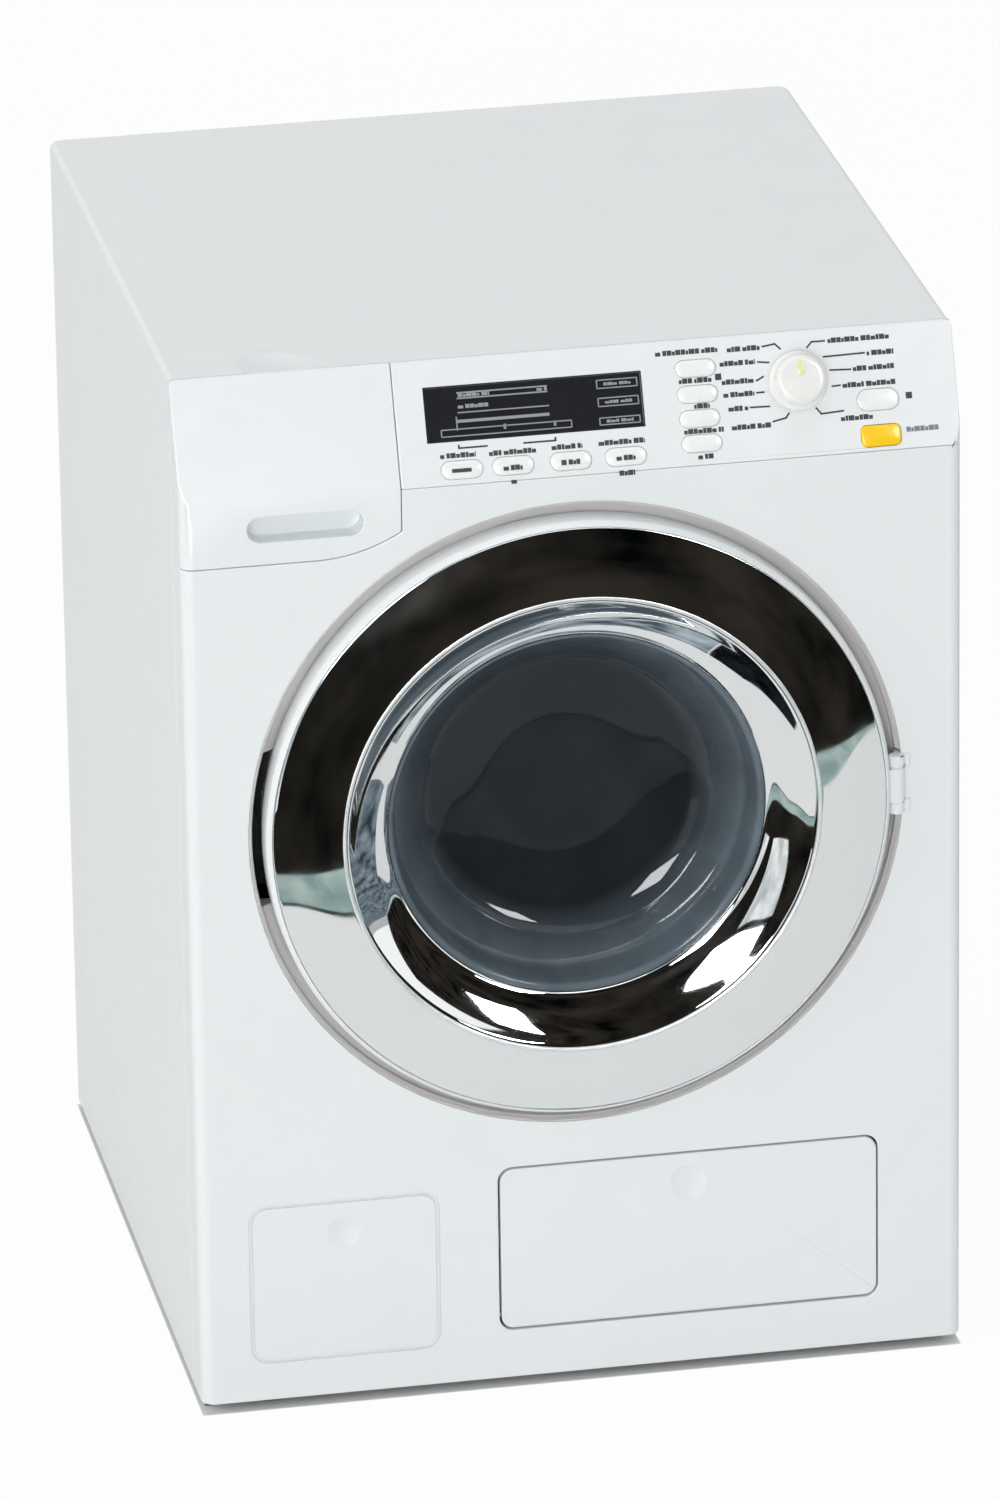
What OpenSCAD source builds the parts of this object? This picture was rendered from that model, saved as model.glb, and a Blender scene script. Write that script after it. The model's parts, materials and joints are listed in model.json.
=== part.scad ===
// Toy washing machine, front loader. Millimetres, +Z up, origin on the floor under the middle
// of the overall box, door included.
// The front looks along -Y, the door hinge is on the +X side.

/* [Body] */
// width of the cabinet
body_w = 185; // [180:1:200]
// depth of the cabinet from front plane to back
body_d = 190; // [185:1:230]
// height from the floor to the top
body_h = 257.5; // [256:0.5:262]
// wall thickness of the shell
wall = 3; // [2.6:0.1:3.2]
// radius of the upright edges
edge_r = 3; // [2:0.5:4]
// height of the white shell above the floor
shell_z = 2.5; // [2.3:0.1:3]
// depth of the front shell where it wraps the sides
wrap = 13; // [11:0.5:15]
// height of the rim of the top cover
rim_h = 11; // [8:0.5:12]
// height of the rubber feet
foot_h = 1.5; // [1:0.1:2]
// radius of the rubber feet
foot_r = 9; // [6:0.5:12]
// visible seam between shell pieces
seam = 0.3; // [0.2:0.05:0.5]

/* [Fascia] */
// height of the sloping fascia
fascia_h = 27; // [26:0.5:28]
// how far the top edge of the fascia is set back
setback = 12; // [10:0.5:14]
// thickness of the sloping plate
plate_t = 3; // [2.8:0.1:3]
// width of the display lens
lens_w = 51.2; // [46:0.2:52]
// height of the display lens on the slope
lens_h = 12.6; // [11:0.2:13]
// diameter of the programme knob
knob_d = 14; // [12:0.5:16]
// height of the programme knob
knob_h = 6; // [5:0.5:8]
// radius of the knob spindle
spindle_r = 3; // [2.5:0.1:3.2]
// gap around each push button
button_gap = 0.3; // [0.3:0.05:0.4]
// corner radius of the yellow button
yellow_r = 1.4; // [1:0.1:2.6]

/* [Door] */
// how far the door centre lies under the lower edge of the fascia
door_drop = 84.55; // [84.3:0.05:85]
// outer radius of the door
door_r = 74.7; // [74:0.1:75]
// radius of the recess in the front panel
recess_r = 78.2; // [78:0.1:78.5]
// depth of the recess floor behind the front plane
recess_depth = 6.5; // [6.3:0.1:7]
// outer radius of the chrome ring
chrome_r = 73.3; // [72.8:0.1:73.4]
// inner radius of the chrome ring
chrome_in_r = 57; // [56.5:0.1:57.4]
// how far the chrome face rises from its outer to its inner edge
crown_rise = 2.8; // [2.4:0.1:2.9]
// how far the chrome face swells between its edges
crown_swell = 0.4; // [0.2:0.1:0.8]
// radius of the visible glass
glass_r = 45; // [43:0.5:45.5]
// depth of the glass bowl
bowl_depth = 22; // [18:0.5:24]
// wall thickness of the glass bowl
glass_t = 1.8; // [1.4:0.1:2]
// radius of the hinge barrel
knuckle_r = 1.9; // [1.8:0.05:1.95]
// radius of the steel hinge pin
pin_r = 0.8; // [0.6:0.05:0.9]
// running gap between pin and knuckle, radial
pin_gap = 0.06; // [0.04:0.01:0.1]

/* [Drum] */
// outer radius of the water tub
tub_r = 68.5; // [66:0.5:68.5]
// outer radius of the drum
drum_r = 61; // [58:0.5:61]
// inner radius of the drum mouth
mouth_r = 52; // [51:0.5:53]
// depth of the drum
drum_len = 92; // [70:1:94]
// radius of the drum shaft
shaft_r = 4; // [3.5:0.1:4.2]
// running gap between shaft and bearing, radial
shaft_gap = 0.04; // [0.03:0.01:0.08]
// radius of the drum pulley
drum_pulley_r = 40; // [34:1:42]
// radius of the motor pulley
motor_pulley_r = 7; // [6:0.5:8]

/* [Drawer and flap] */
// right seam of the drawer front, x
drawer_x = -40.6; // [-41:0.1:-40]
// how far the drawer front reaches under the lower edge of the fascia
drawer_drop = 15.7; // [15:0.1:16]
// radius about the door's middle that the drawer front keeps clear of
drawer_arc_r = 84.8; // [84.5:0.1:85]
// radius of the curve at the lower right of the drawer front
drawer_bend = 40; // [36:1:44]
// radius of the finger scoop in the top cover
scoop_r = 9.5; // [8:0.5:11]
// depth of the finger scoop
scoop_deep = 1.8; // [1:0.1:2]
// depth of the drawer tray
tray_d = 68; // [50:1:80]
// running gap between tray and housing
tray_gap = 0.5; // [0.3:0.05:0.6]
// left edge of the lower flap, x
flap_left = -19.8; // [-22:0.2:-19]
// width of the lower flap
flap_w = 91.4; // [80:0.2:92]
// white strip under the lower flap
flap_sill = 12.7; // [12:0.1:14]
// strip between the lower flap and the rim of the door recess
flap_head = 11.15; // [11:0.05:14]
// corner radius of the lower flap
flap_r = 3.4; // [3:0.1:3.5]
// height of the flap's hinge line above its lower edge
flap_axis = 3.3; // [3.2:0.05:3.5]
// gap around the lower flap
flap_gap = 0.5; // [0.4:0.05:0.6]
// depth of the compartment behind the flap
flap_box_d = 45; // [35:1:50]

/* [Battery] */
// diameter of one cell
cell_d = 14.5; // [14:0.1:14.5]
// length of one cell
cell_l = 50.5; // [49:0.1:51]

/* [Hidden] */
$fn = 48;
xl = -body_w / 2;
xr = body_w / 2;
nose = 7.6;
mid = nose / 2;
yf = mid - body_d / 2;
yb = mid + body_d / 2;
yw = yf + wrap;
seat = 0.1;
kink_z = body_h - fascia_h;
slope = atan(setback / fascia_h);
door_z = kink_z - door_drop;
drawer_z = kink_z - drawer_drop;
bend_z = drawer_z + drawer_bend;
bend_x = -sqrt(pow(drawer_arc_r + drawer_bend, 2) - pow(bend_z - door_z, 2));
scoop_x = -66.5;
scoop_y = yw + seam + 5;
rim_z = body_h - rim_h;
deck_t = 2.8;
base_top = foot_h + 3;
hinge_x = door_r + 1.75;
hinge_y = yf - 0.8;
ear_h = 3;
tab_lo = door_z - 5.95;
tab_hi = door_z + 8.55;
latch_x = -door_r + 4.2;
tube_in = recess_r - 1;
gasket_r = glass_r + 5.2;
screw_ring_r = chrome_in_r + 6;
floor_t = 2.5;
floor_back = recess_depth + floor_t;
drum_in_r = drum_r - 1.8;
drum_front = floor_back + 9;
drum_back = drum_front + drum_len;
tub_in_r = tub_r - 2.5;
tub_back = drum_back + 7;
hub_end = tub_back + 8;
pulley_y = hub_end + 3;
belt_w = 3.6;
belt_t = 1.6;
motor_x = 55;
motor_z = 40;
motor_len = 30;
motor_face = pulley_y - 11;
belt_dist = sqrt(motor_x * motor_x + (door_z - motor_z) * (door_z - motor_z));
tray_x0 = xl + 5.2;
tray_x1 = drawer_x - 4.6;
tray_y0 = yf + 9.1;
tray_z0 = drawer_z + 4.3;
tray_z1 = body_h - 18;
inlet_x = -54;
inlet_y = yf + 45;
inlet_z = door_z + 52.5;
outlet_x = 10;
outlet_y = yf + 28;
outlet_z = door_z - 79.4;
flap_right = flap_left + flap_w;
flap_x = flap_left + flap_w / 2;
flap_z = shell_z + flap_sill;
flap_top = door_z - recess_r - flap_head;
flap_pin_r = 0.6;
flap_barrel_r = 1.8;
flap_pin_z = flap_z + flap_axis;
groove_x0 = xl + 12;
groove_x1 = flap_left - 14.7;
groove_z0 = flap_z - 3.2;
groove_z1 = flap_top - 3.6;
pcb_d = 9;
pcb_t = 1.6;
cell_pitch = cell_d + 1.1;
box_x0 = xl + 18.5;
box_x1 = box_x0 + cell_l + 7.5;
box_z0 = 9.5;
box_z1 = box_z0 + 3 * cell_pitch + 0.4;
box_y0 = yb - wall - cell_d - 1.4;
lid_over = 2.6;
lid_x = (box_x0 + box_x1) / 2;
lid_z1 = box_z1 + 10.9;
lid_screw_z = box_z1 + 6.8;
rear_x = xr - 15.9;
rear_z0 = lid_z1 + 4.8;
rear_z1 = rim_z - 15.9;
screw_in = 5.6;
screw_post_r = 4;
screw_bore_r = 1.42;
rebate = 0.4;
post_x = 12;
bracket_x = 17;
speaker_x = -62;
speaker_y = yf + 85;
foot_x = xr - 17.5;
foot_y = 14;
lens_x = -7.7;
lens_s = 16.8;
row_s = 3.7;
row_x = [-25.9, -13.8, -0.2, 12.8];
row_w = 9.4;
row_h = 3.8;
col_x = 31;
col_s = [5.3, 11.1, 16.8, 22.8];
col_w = 9.2;
col_h = 3.6;
start_x = 73.5;
start_s = 12.2;
start_w = 9.6;
start_h = 4.6;
yellow_s = 3.8;
yellow_w = 9.8;
yellow_h = 5.2;
knob_x = 54.8;
knob_s = 18;
board_x0 = lens_x - lens_w / 2 - 4.2;
board_x1 = start_x + 14;
board_h = 26;

// upright block with rounded upright edges, centred on the cabinet
module upright(w, d, z0, z1, r) {
    translate([-w / 2 + r, mid - d / 2, z0])
        cube([w - 2 * r, d, z1 - z0]);
    translate([-w / 2, mid - d / 2 + r, z0])
        cube([w, d - 2 * r, z1 - z0]);
    for (sx = [-1, 1])
        for (sy = [-1, 1])
            translate([sx * (w / 2 - r), mid + sy * (d / 2 - r), z0])
                cylinder(r = r, h = z1 - z0);
}

// plain block from corner to corner
module blk(x0, x1, y0, y1, z0, z1) {
    translate([x0, y0, z0])
        cube([x1 - x0, y1 - y0, z1 - z0]);
}

// plate facing the front with four rounded corners
module tile(x0, x1, z0, z1, y0, y1, r) {
    blk(x0 + r, x1 - r, y0, y1, z0, z1);
    blk(x0, x1, y0, y1, z0 + r, z1 - r);
    for (x = [x0 + r, x1 - r])
        for (z = [z0 + r, z1 - r])
            translate([x, y0, z])
                rotate([-90, 0, 0])
                    cylinder(r = r, h = y1 - y0);
}

// round bar along Y
module ybar(x, z, r, y0, y1) {
    translate([x, y0, z])
        rotate([-90, 0, 0])
            cylinder(r = r, h = y1 - y0);
}

// frame of the door axis: local Z runs from the front plane into the body
module at_door() {
    translate([0, yf, door_z])
        rotate([-90, 0, 0])
            children();
}

// frame of the sloping fascia: local Y runs inward, local Z up the slope
module at_slope(x, s) {
    translate([x, yf, kink_z])
        rotate([-slope, 0, 0])
            translate([0, 0, s])
                children();
}

// ring about the door axis between two depths
module ring(r1, r0, d0, d1) {
    at_door()
        difference() {
            translate([0, 0, d0])
                cylinder(r = r1, h = d1 - d0, $fn = 96);
            translate([0, 0, d0 - 1])
                cylinder(r = r0, h = d1 - d0 + 2, $fn = 96);
        }
}

// bar on the slope between two depths, with round ends or with rounded corners of radius r
module pill(x, s, w, h, d0, d1, r = 0) {
    corner = r == 0 ? h / 2 : r;
    at_slope(x, s) {
        translate([-w / 2 + corner, d0, -h / 2])
            cube([w - 2 * corner, d1 - d0, h]);
        if (r > 0)
            translate([-w / 2, d0, -h / 2 + corner])
                cube([w, d1 - d0, h - 2 * corner]);
        for (sx = [-1, 1])
            for (sz = r > 0 ? [-1, 1] : [0])
                translate([sx * (w / 2 - corner), d0, sz * (h / 2 - corner)])
                    rotate([-90, 0, 0])
                        cylinder(r = corner, h = d1 - d0);
    }
}

// side outline of the front shell, extruded over the width
module side_outline(points) {
    translate([-body_w, 0, 0])
        rotate([90, 0, 90])
            linear_extrude(height = 2 * body_w)
                polygon(points);
}

// whole front skin: front wall, sloping plate and side wraps, before it is divided
module front_skin() {
    inner_y = yf + plate_t * cos(slope);
    inner_z = kink_z - plate_t * sin(slope);
    bend = (yf + wall - inner_y) / tan(slope);
    reach = (yw + 1 - inner_y) / tan(slope);
    difference() {
        intersection() {
            upright(body_w, body_d, shell_z, body_h, edge_r);
            side_outline([[yf, 0], [yf, kink_z], [yf + setback, body_h], [yw, body_h], [yw, 0]]);
        }
        intersection() {
            blk(xl + wall, xr - wall, yf, yb, 0, body_h);
            side_outline([[yf + wall, -1], [yf + wall, inner_z + bend],
                [yw + 1, inner_z + reach], [yw + 1, -1]]);
        }
    }
}

// part of the front that belongs to the drawer, shrunk by g
module drawer_zone(g) {
    r = drawer_bend - g;
    last = acos((drawer_x - g - bend_x) / r);
    curve = [for (i = [0 : 12])
        let (a = -90 + (90 - last) * i / 12)
        [bend_x + r * cos(a), bend_z + r * sin(a)]];
    translate([0, yw + 5, 0])
        rotate([90, 0, 0])
            linear_extrude(height = wrap + 10)
                polygon(concat([[xl - 5, drawer_z + g]], curve,
                    [[drawer_x - g, body_h + 5], [xl - 5, body_h + 5]]));
}

// radius of the ball that leaves a dish of radius r and the given depth
function dish_ball(r, deep) = (r * r + deep * deep) / (2 * deep);

// round dimple in the front face
module dimple(x, z, r, deep) {
    big = dish_ball(r, deep);
    translate([x, yf - big + deep, z])
        sphere(r = big, $fn = 64);
}

module screw_at(x, z, r, head_r, y_head, y_end, s) {
    difference() {
        union() {
            ybar(x, z, head_r, min(y_head, y_head + s * 1.2), max(y_head, y_head + s * 1.2));
            ybar(x, z, r, min(y_head, y_end), max(y_head, y_end));
        }
        blk(x - head_r * 0.6, x + head_r * 0.6, min(y_head, y_head - s) - 0.01,
            max(y_head, y_head + s * 0.6), z - 0.3, z + 0.3);
        blk(x - 0.3, x + 0.3, min(y_head, y_head - s) - 0.01,
            max(y_head, y_head + s * 0.6), z - head_r * 0.6, z + head_r * 0.6);
    }
}

board_posts = [[-35, 5], [42.5, 4], [84, 24.5]];
rear_screws = [for (sx = [-1, 1])
    for (z = [rear_z0 + screw_in + 1, (rear_z0 + rear_z1) / 2, rear_z1 - screw_in - 1])
        [sx * (rear_x - screw_in), z]];
clip_heights = [30, (kink_z - 10) / 2, kink_z - 40];

module cabinet() {
    color([0.88, 0.89, 0.90])
        difference() {
            union() {
                difference() {
                    upright(body_w, body_d, shell_z, rim_z - seam, edge_r);
                    blk(xl + wall, xr - wall, yf - 1, yb - wall, 0, body_h);
                    blk(xl - 1, xr + 1, yf - 1, yw + seam, 0, body_h);
                }
                for (p = rear_screws)
                    ybar(p[0], p[1], screw_post_r, yb - wall - 7, yb - wall + 1);
                ybar(lid_x, lid_screw_z, screw_post_r, yb - wall - 7, yb - wall + 1);
            }
            blk(-rear_x + 12.6, rear_x - 12.6, yb - 5, yb + 1, rear_z0 + 11.6, rear_z1 - 11.6);
            blk(-rear_x - rebate, rear_x + rebate, yb - 2, yb + 1,
                rear_z0 - rebate, rear_z1 + rebate);
            blk(box_x0, box_x1, yb - 5, yb + 1, box_z0, box_z1);
            blk(box_x0 - lid_over - rebate, box_x1 + lid_over + rebate, yb - 2, yb + 1,
                box_z0 - lid_over - rebate, lid_z1 + rebate);
            for (p = rear_screws)
                ybar(p[0], p[1], screw_bore_r, yb - wall - 6, yb + 1);
            ybar(lid_x, lid_screw_z, screw_bore_r + 0.08, yb - wall - 6, yb + 1);
            for (i = [0 : 5])
                blk(20 + i * 8, 24 + i * 8, yb - 5, yb + 1, 16, 46);
        }
}

module rear_cover() {
    color([0.80, 0.81, 0.83])
        difference() {
            blk(-rear_x, rear_x, yb - 2, yb, rear_z0, rear_z1);
            for (p = rear_screws) {
                ybar(p[0], p[1], 1.6, yb - 3, yb + 1);
                ybar(p[0], p[1], 2.8, yb - 1.3, yb + 1);
            }
            for (i = [0 : 7])
                blk(-40, 40, yb - 3, yb + 1, rear_z0 + 23.6 + i * 12, rear_z0 + 26.6 + i * 12);
        }
}

module front_panel() {
    color([0.93, 0.94, 0.95])
        difference() {
            union() {
                difference() {
                    front_skin();
                    blk(xl - 1, xr + 1, yf - 1, yb, kink_z - seam / 2, body_h + 1);
                    drawer_zone(-seam / 2);
                    ybar(0, door_z, recess_r + seat, yf - 1, yf + wall + 1);
                    tile(flap_left - flap_gap, flap_right + flap_gap, flap_z - flap_gap,
                        flap_top + flap_gap, yf - 1, yf + wall + 1, flap_r + 0.1);
                }
                for (z = [tab_lo, tab_hi - ear_h]) {
                    translate([hinge_x, hinge_y, z])
                        cylinder(r = knuckle_r, h = ear_h);
                    blk(hinge_x, recess_r + 1.6, hinge_y, yf + wall, z, z + ear_h);
                }
                for (z = clip_heights)
                    for (sx = [-1, 1]) {
                        blk(sx * (xr - wall - 1.1) - 1, sx * (xr - wall - 1.1) + 1,
                            yw - 6, yw + 8, z - 8, z + 8);
                        blk(sx * (xr - wall - 0.6) - 1, sx * (xr - wall - 0.6) + 1,
                            yw - 6, yw, z - 8, z + 8);
                    }
            }
            translate([hinge_x, hinge_y, tab_lo + ear_h - 0.3])
                cylinder(r = knuckle_r + 0.35, h = tab_hi - tab_lo - 2 * ear_h + 0.6);
            translate([hinge_x, hinge_y, tab_lo - 1])
                cylinder(r = pin_r + 0.01, h = tab_hi - tab_lo + 0.6);
            translate([flap_left - 4.2, yf + flap_barrel_r, flap_pin_z])
                rotate([0, 90, 0])
                    cylinder(r = flap_pin_r + 0.01, h = flap_w + 8.4);
            difference() {
                tile(groove_x0, groove_x1, groove_z0, groove_z1, yf - 1, yf + 0.5, 4.5);
                tile(groove_x0 + 1, groove_x1 - 1, groove_z0 + 1, groove_z1 - 1,
                    yf - 2, yf + 1, 3.5);
            }
            dimple((groove_x0 + groove_x1) / 2, groove_z1 - 8.6, 4.5, 0.9);
        }
}

module fascia_panel() {
    color([0.93, 0.94, 0.95])
        difference() {
            union() {
                difference() {
                    front_skin();
                    blk(xl - 1, xr + 1, yf - 1, yb, -1, kink_z + seam / 2);
                    blk(xl - 1, drawer_x + seam / 2, yf - 1, yb, -1, body_h + 1);
                }
                for (p = board_posts)
                    at_slope(p[0], p[1])
                        rotate([-90, 0, 0]) {
                            translate([0, 0, plate_t - 0.5])
                                cylinder(r = 2.4, h = pcb_d - plate_t + 0.5 - 0.02);
                            translate([0, 0, plate_t])
                                cylinder(r = 1.1, h = pcb_d + pcb_t + 0.5 - plate_t);
                            translate([0, 0, pcb_d + pcb_t + 0.05])
                                cylinder(r = 1.9, h = 0.8);
                        }
            }
            at_slope(lens_x, lens_s)
                translate([-lens_w / 2 - 0.2, -1, -lens_h / 2 - 0.2])
                    cube([lens_w + 0.4, plate_t + 2, lens_h + 0.4]);
            at_slope(knob_x, knob_s)
                translate([0, -1, 0])
                    rotate([-90, 0, 0])
                        cylinder(r = spindle_r + 0.35, h = plate_t + 2);
            for (x = row_x)
                pill(x, row_s, row_w + 2 * button_gap, row_h + 2 * button_gap, -1, plate_t + 1);
            for (s = col_s)
                pill(col_x, s, col_w + 2 * button_gap, col_h + 2 * button_gap, -1, plate_t + 1);
            pill(start_x, start_s, start_w + 2 * button_gap, start_h + 2 * button_gap,
                -1, plate_t + 1);
            pill(start_x, yellow_s, yellow_w + 2 * button_gap, yellow_h + 2 * button_gap,
                -1, plate_t + 1, yellow_r + button_gap);
        }
}

module top_cover() {
    color([0.90, 0.91, 0.92])
        difference() {
            union() {
                difference() {
                    upright(body_w, body_d, rim_z, body_h, edge_r);
                    blk(xl + wall, xr - wall, yf - 1, yb - wall, rim_z - 1, body_h - deck_t);
                }
                for (sx = [-1, 1])
                    blk(sx * (xr - wall - 1.1) - 1, sx * (xr - wall - 1.1) + 1,
                        yw + 20, yb - 10, rim_z - 3.5, body_h - deck_t + 0.5);
                for (sx = [-1, 1])
                    blk(sx * (xr - wall - 0.6) - 1, sx * (xr - wall - 0.6) + 1,
                        yw + 20, yb - 10, rim_z, body_h - deck_t + 0.5);
            }
            blk(xl - 1, xr + 1, yf - 1, yw + seam, rim_z - 5, body_h + 1);
            translate([scoop_x, scoop_y, body_h + dish_ball(scoop_r, scoop_deep) - scoop_deep])
                sphere(r = dish_ball(scoop_r, scoop_deep), $fn = 64);
        }
}

module base_plate() {
    color([0.24, 0.25, 0.27])
        difference() {
            blk(xl + wall + 0.1, xr - wall - 0.1, yf + wall + 0.1, yb - wall - 0.1, foot_h, base_top);
            for (x = [-foot_x, foot_x])
                for (y = [yf + foot_y, yb - foot_y])
                    translate([x, y, 0])
                        cylinder(r = 3.05, h = base_top + 1);
            for (i = [-2 : 2])
                for (j = [-2 : 2])
                    translate([speaker_x + i * 5, speaker_y + j * 5, 0])
                        cylinder(r = 1, h = base_top + 1);
            for (x = [motor_x - post_x, motor_x + post_x])
                translate([x, yf + motor_face - 14, 0])
                    cylinder(r = 1.42, h = base_top + 1);
        }
}

module feet() {
    color([0.12, 0.12, 0.13])
        for (x = [-foot_x, foot_x])
            for (y = [yf + foot_y, yb - foot_y])
                translate([x, y, 0]) {
                    cylinder(r = foot_r, h = foot_h);
                    cylinder(r = 3, h = base_top);
                    translate([0, 0, base_top])
                        cylinder(r = 3.6, h = 1);
                }
}

// slot in the surround that takes the latch tongue of the door
module latch_pocket() {
    blk(latch_x - 1.8, latch_x + 2.5, yf + 5, yf + 20, door_z - 6, door_z + 6);
}

module door_surround() {
    color([0.70, 0.71, 0.73])
        difference() {
            union() {
                ring(recess_r, tube_in, 0, floor_back);
                ring(recess_r, gasket_r - 0.2, recess_depth, floor_back);
                ring(recess_r + 4.8, recess_r - 0.5, wall + seat, wall + seat + 2);
            }
            intersection() {
                ring(tube_in, tube_in - 3.6, recess_depth - 1, floor_back + 1);
                blk(xl, 0, yf, yf + 20, door_z - 18, door_z + 20.5);
            }
            latch_pocket();
            blk(hinge_x - 2.65, xr, yf - 1, yf + recess_depth, tab_lo - 0.7, tab_hi + 0.7);
        }
    color([0.70, 0.71, 0.73])
        difference() {
            blk(latch_x - 2.7, latch_x + 1.6, yf + floor_back - 0.5, yf + floor_back + 3,
                door_z - 8, door_z + 8);
            latch_pocket();
        }
}

module door_gasket() {
    color([0.22, 0.23, 0.25]) {
        ring(gasket_r + 4.8, gasket_r, floor_back + seat, floor_back + 3);
        ring(gasket_r + 2.2, gasket_r, floor_back + seat, floor_back + 7);
    }
}

module tub() {
    color([0.80, 0.82, 0.84])
        difference() {
            union() {
                ring(tub_r, tub_in_r, floor_back + seat, tub_back);
                ring(tub_r, gasket_r + 5, floor_back + seat, floor_back + 2.6);
                ring(tub_in_r + 1, 5.5, tub_back - 3, tub_back);
                ring(13, 5.5, tub_back - 3, hub_end);
                for (sx = [-1, 1])
                    blk(sx * 30 - 5, sx * 30 + 5, yf + 60, yf + tub_back,
                        base_top + seat, door_z - 60);
                translate([inlet_x, inlet_y, inlet_z - 26.5])
                    cylinder(r = 6.5, h = 26.5);
                translate([outlet_x, outlet_y, outlet_z])
                    cylinder(r = 7, h = 14);
            }
            at_door()
                translate([0, 0, floor_back + 3])
                    cylinder(r = tub_in_r, h = tub_back - 3 - floor_back - 3, $fn = 96);
            at_door() {
                translate([0, 0, tub_back - 4])
                    cylinder(r = 7, h = 5);
                translate([0, 0, hub_end - 4])
                    cylinder(r = 7, h = 5);
            }
            translate([inlet_x, inlet_y, inlet_z - 48.5])
                cylinder(r = 3, h = 50);
            translate([inlet_x, inlet_y, inlet_z - 8])
                cylinder(r = 4.05, h = 10);
            translate([outlet_x, outlet_y, outlet_z - 6])
                cylinder(r = 3.8, h = 32);
            translate([outlet_x, outlet_y, outlet_z - 6])
                cylinder(r = 5.05, h = 12);
        }
}

module shaft_bearings() {
    color([0.72, 0.60, 0.34]) {
        ring(6.98, shaft_r + shaft_gap, tub_back - 3, tub_back + 1);
        ring(6.98, shaft_r + shaft_gap, hub_end - 4, hub_end);
    }
}

module drum() {
    color([0.62, 0.65, 0.70])
        difference() {
            union() {
                ring(drum_r, drum_in_r, drum_front, drum_back);
                ring(drum_r, mouth_r, drum_front, drum_front + 2);
                ring(drum_in_r + 1, shaft_r + 0.02, drum_back - 2, drum_back);
                ring(12, shaft_r + 0.02, drum_back - 2, drum_back + 2.5);
            }
            at_door()
                for (a = [0 : 30 : 330])
                    for (k = [0 : 3])
                        rotate([0, 0, a + 15])
                            translate([drum_in_r - 4, 0, drum_front + drum_len * (k + 0.75) / 4.5])
                                rotate([0, 90, 0])
                                    cylinder(r = 2.2, h = 8, $fn = 24);
            at_door()
                for (a = [0 : 60 : 300])
                    for (r = [22, 34, 46])
                        rotate([0, 0, a + r])
                            translate([r, 0, drum_back - 5])
                                cylinder(r = 2.2, h = 8, $fn = 24);
        }
}

module drum_paddles() {
    color([0.80, 0.82, 0.85])
        at_door()
            for (a = [30 : 120 : 270])
                rotate([0, 0, a])
                    translate([drum_in_r - 12, -3, drum_front + 6])
                        cube([11.7, 6, drum_len - 14]);
}

module drum_nut() {
    color([0.55, 0.58, 0.62])
        at_door()
            difference() {
                translate([0, 0, drum_back - 8])
                    cylinder(r = 9, h = 5.9);
                translate([0, 0, drum_back - 6])
                    cylinder(r = shaft_r + 0.02, h = 5);
            }
}

module drum_shaft() {
    color([0.70, 0.71, 0.73])
        at_door()
            translate([0, 0, drum_back - 5.8])
                cylinder(r = shaft_r, h = pulley_y + 8 - drum_back + 5.8);
}

// grooved wheel about the local Z axis, middle at z = 0
module wheel(r, bore, w) {
    rotate_extrude($fn = 96)
        polygon([[bore, -w / 2], [r, -w / 2], [r, -w / 2 + 0.8], [r - 2, -belt_w / 2 - 0.1],
            [r - 2, belt_w / 2 + 0.1], [r, w / 2 - 0.8], [r, w / 2], [bore, w / 2]]);
}

module drum_pulley() {
    color([0.16, 0.17, 0.18])
        at_door()
            translate([0, 0, pulley_y + 3])
                difference() {
                    wheel(drum_pulley_r, shaft_r + 0.02, 6);
                    for (a = [0 : 60 : 300])
                        rotate([0, 0, a])
                            translate([drum_pulley_r * 0.56, 0, -5])
                                cylinder(r = 8, h = 10);
                }
}

module motor_pulley() {
    color([0.16, 0.17, 0.18])
        translate([motor_x, yf + pulley_y + 3, motor_z])
            rotate([-90, 0, 0])
                wheel(motor_pulley_r, 1.52, 6);
}

module motor_shaft() {
    color([0.70, 0.71, 0.73])
        ybar(motor_x, motor_z, 1.5, yf + motor_face - 6, yf + pulley_y + 7);
}

module drive_belt() {
    r1 = drum_pulley_r - 2 + 0.1;
    r2 = motor_pulley_r - 2 + 0.1;
    lean = acos((r1 - r2) / belt_dist);
    run = sqrt(belt_dist * belt_dist - (r1 - r2) * (r1 - r2));
    turn = atan2(door_z - motor_z, motor_x);
    lap = 0.2;
    color([0.08, 0.08, 0.09])
        at_door()
            translate([0, 0, pulley_y + 3 - belt_w / 2])
                rotate([0, 0, turn]) {
                    rotate([0, 0, lean])
                        rotate_extrude(angle = 360 - 2 * lean, $fn = 96)
                            translate([r1, 0])
                                square([belt_t, belt_w]);
                    translate([belt_dist, 0, 0])
                        rotate([0, 0, -lean])
                            rotate_extrude(angle = 2 * lean, $fn = 96)
                                translate([r2, 0])
                                    square([belt_t, belt_w]);
                    for (side = [0, 1])
                        mirror([0, side, 0])
                            rotate([0, 0, lean - 90])
                                translate([-lap, r1, 0])
                                    cube([run + 2 * lap, belt_t, belt_w]);
                }
}

module motor() {
    y1 = yf + motor_face;
    color([0.62, 0.63, 0.65])
        difference() {
            union() {
                ybar(motor_x, motor_z, 12, y1 - motor_len, y1);
                ybar(motor_x, motor_z, 4, y1 - 1, y1 + 2);
                ybar(motor_x, motor_z, 5, y1 - motor_len - 2, y1 - motor_len + 1);
                for (sx = [-1, 1])
                    blk(motor_x + sx * 8 - 1.4, motor_x + sx * 8 + 1.4,
                        y1 - motor_len - 4, y1 - motor_len + 1, motor_z - 0.4, motor_z + 0.4);
            }
            ybar(motor_x, motor_z, 1.55, y1 - 7, y1 + 3);
        }
}

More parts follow.
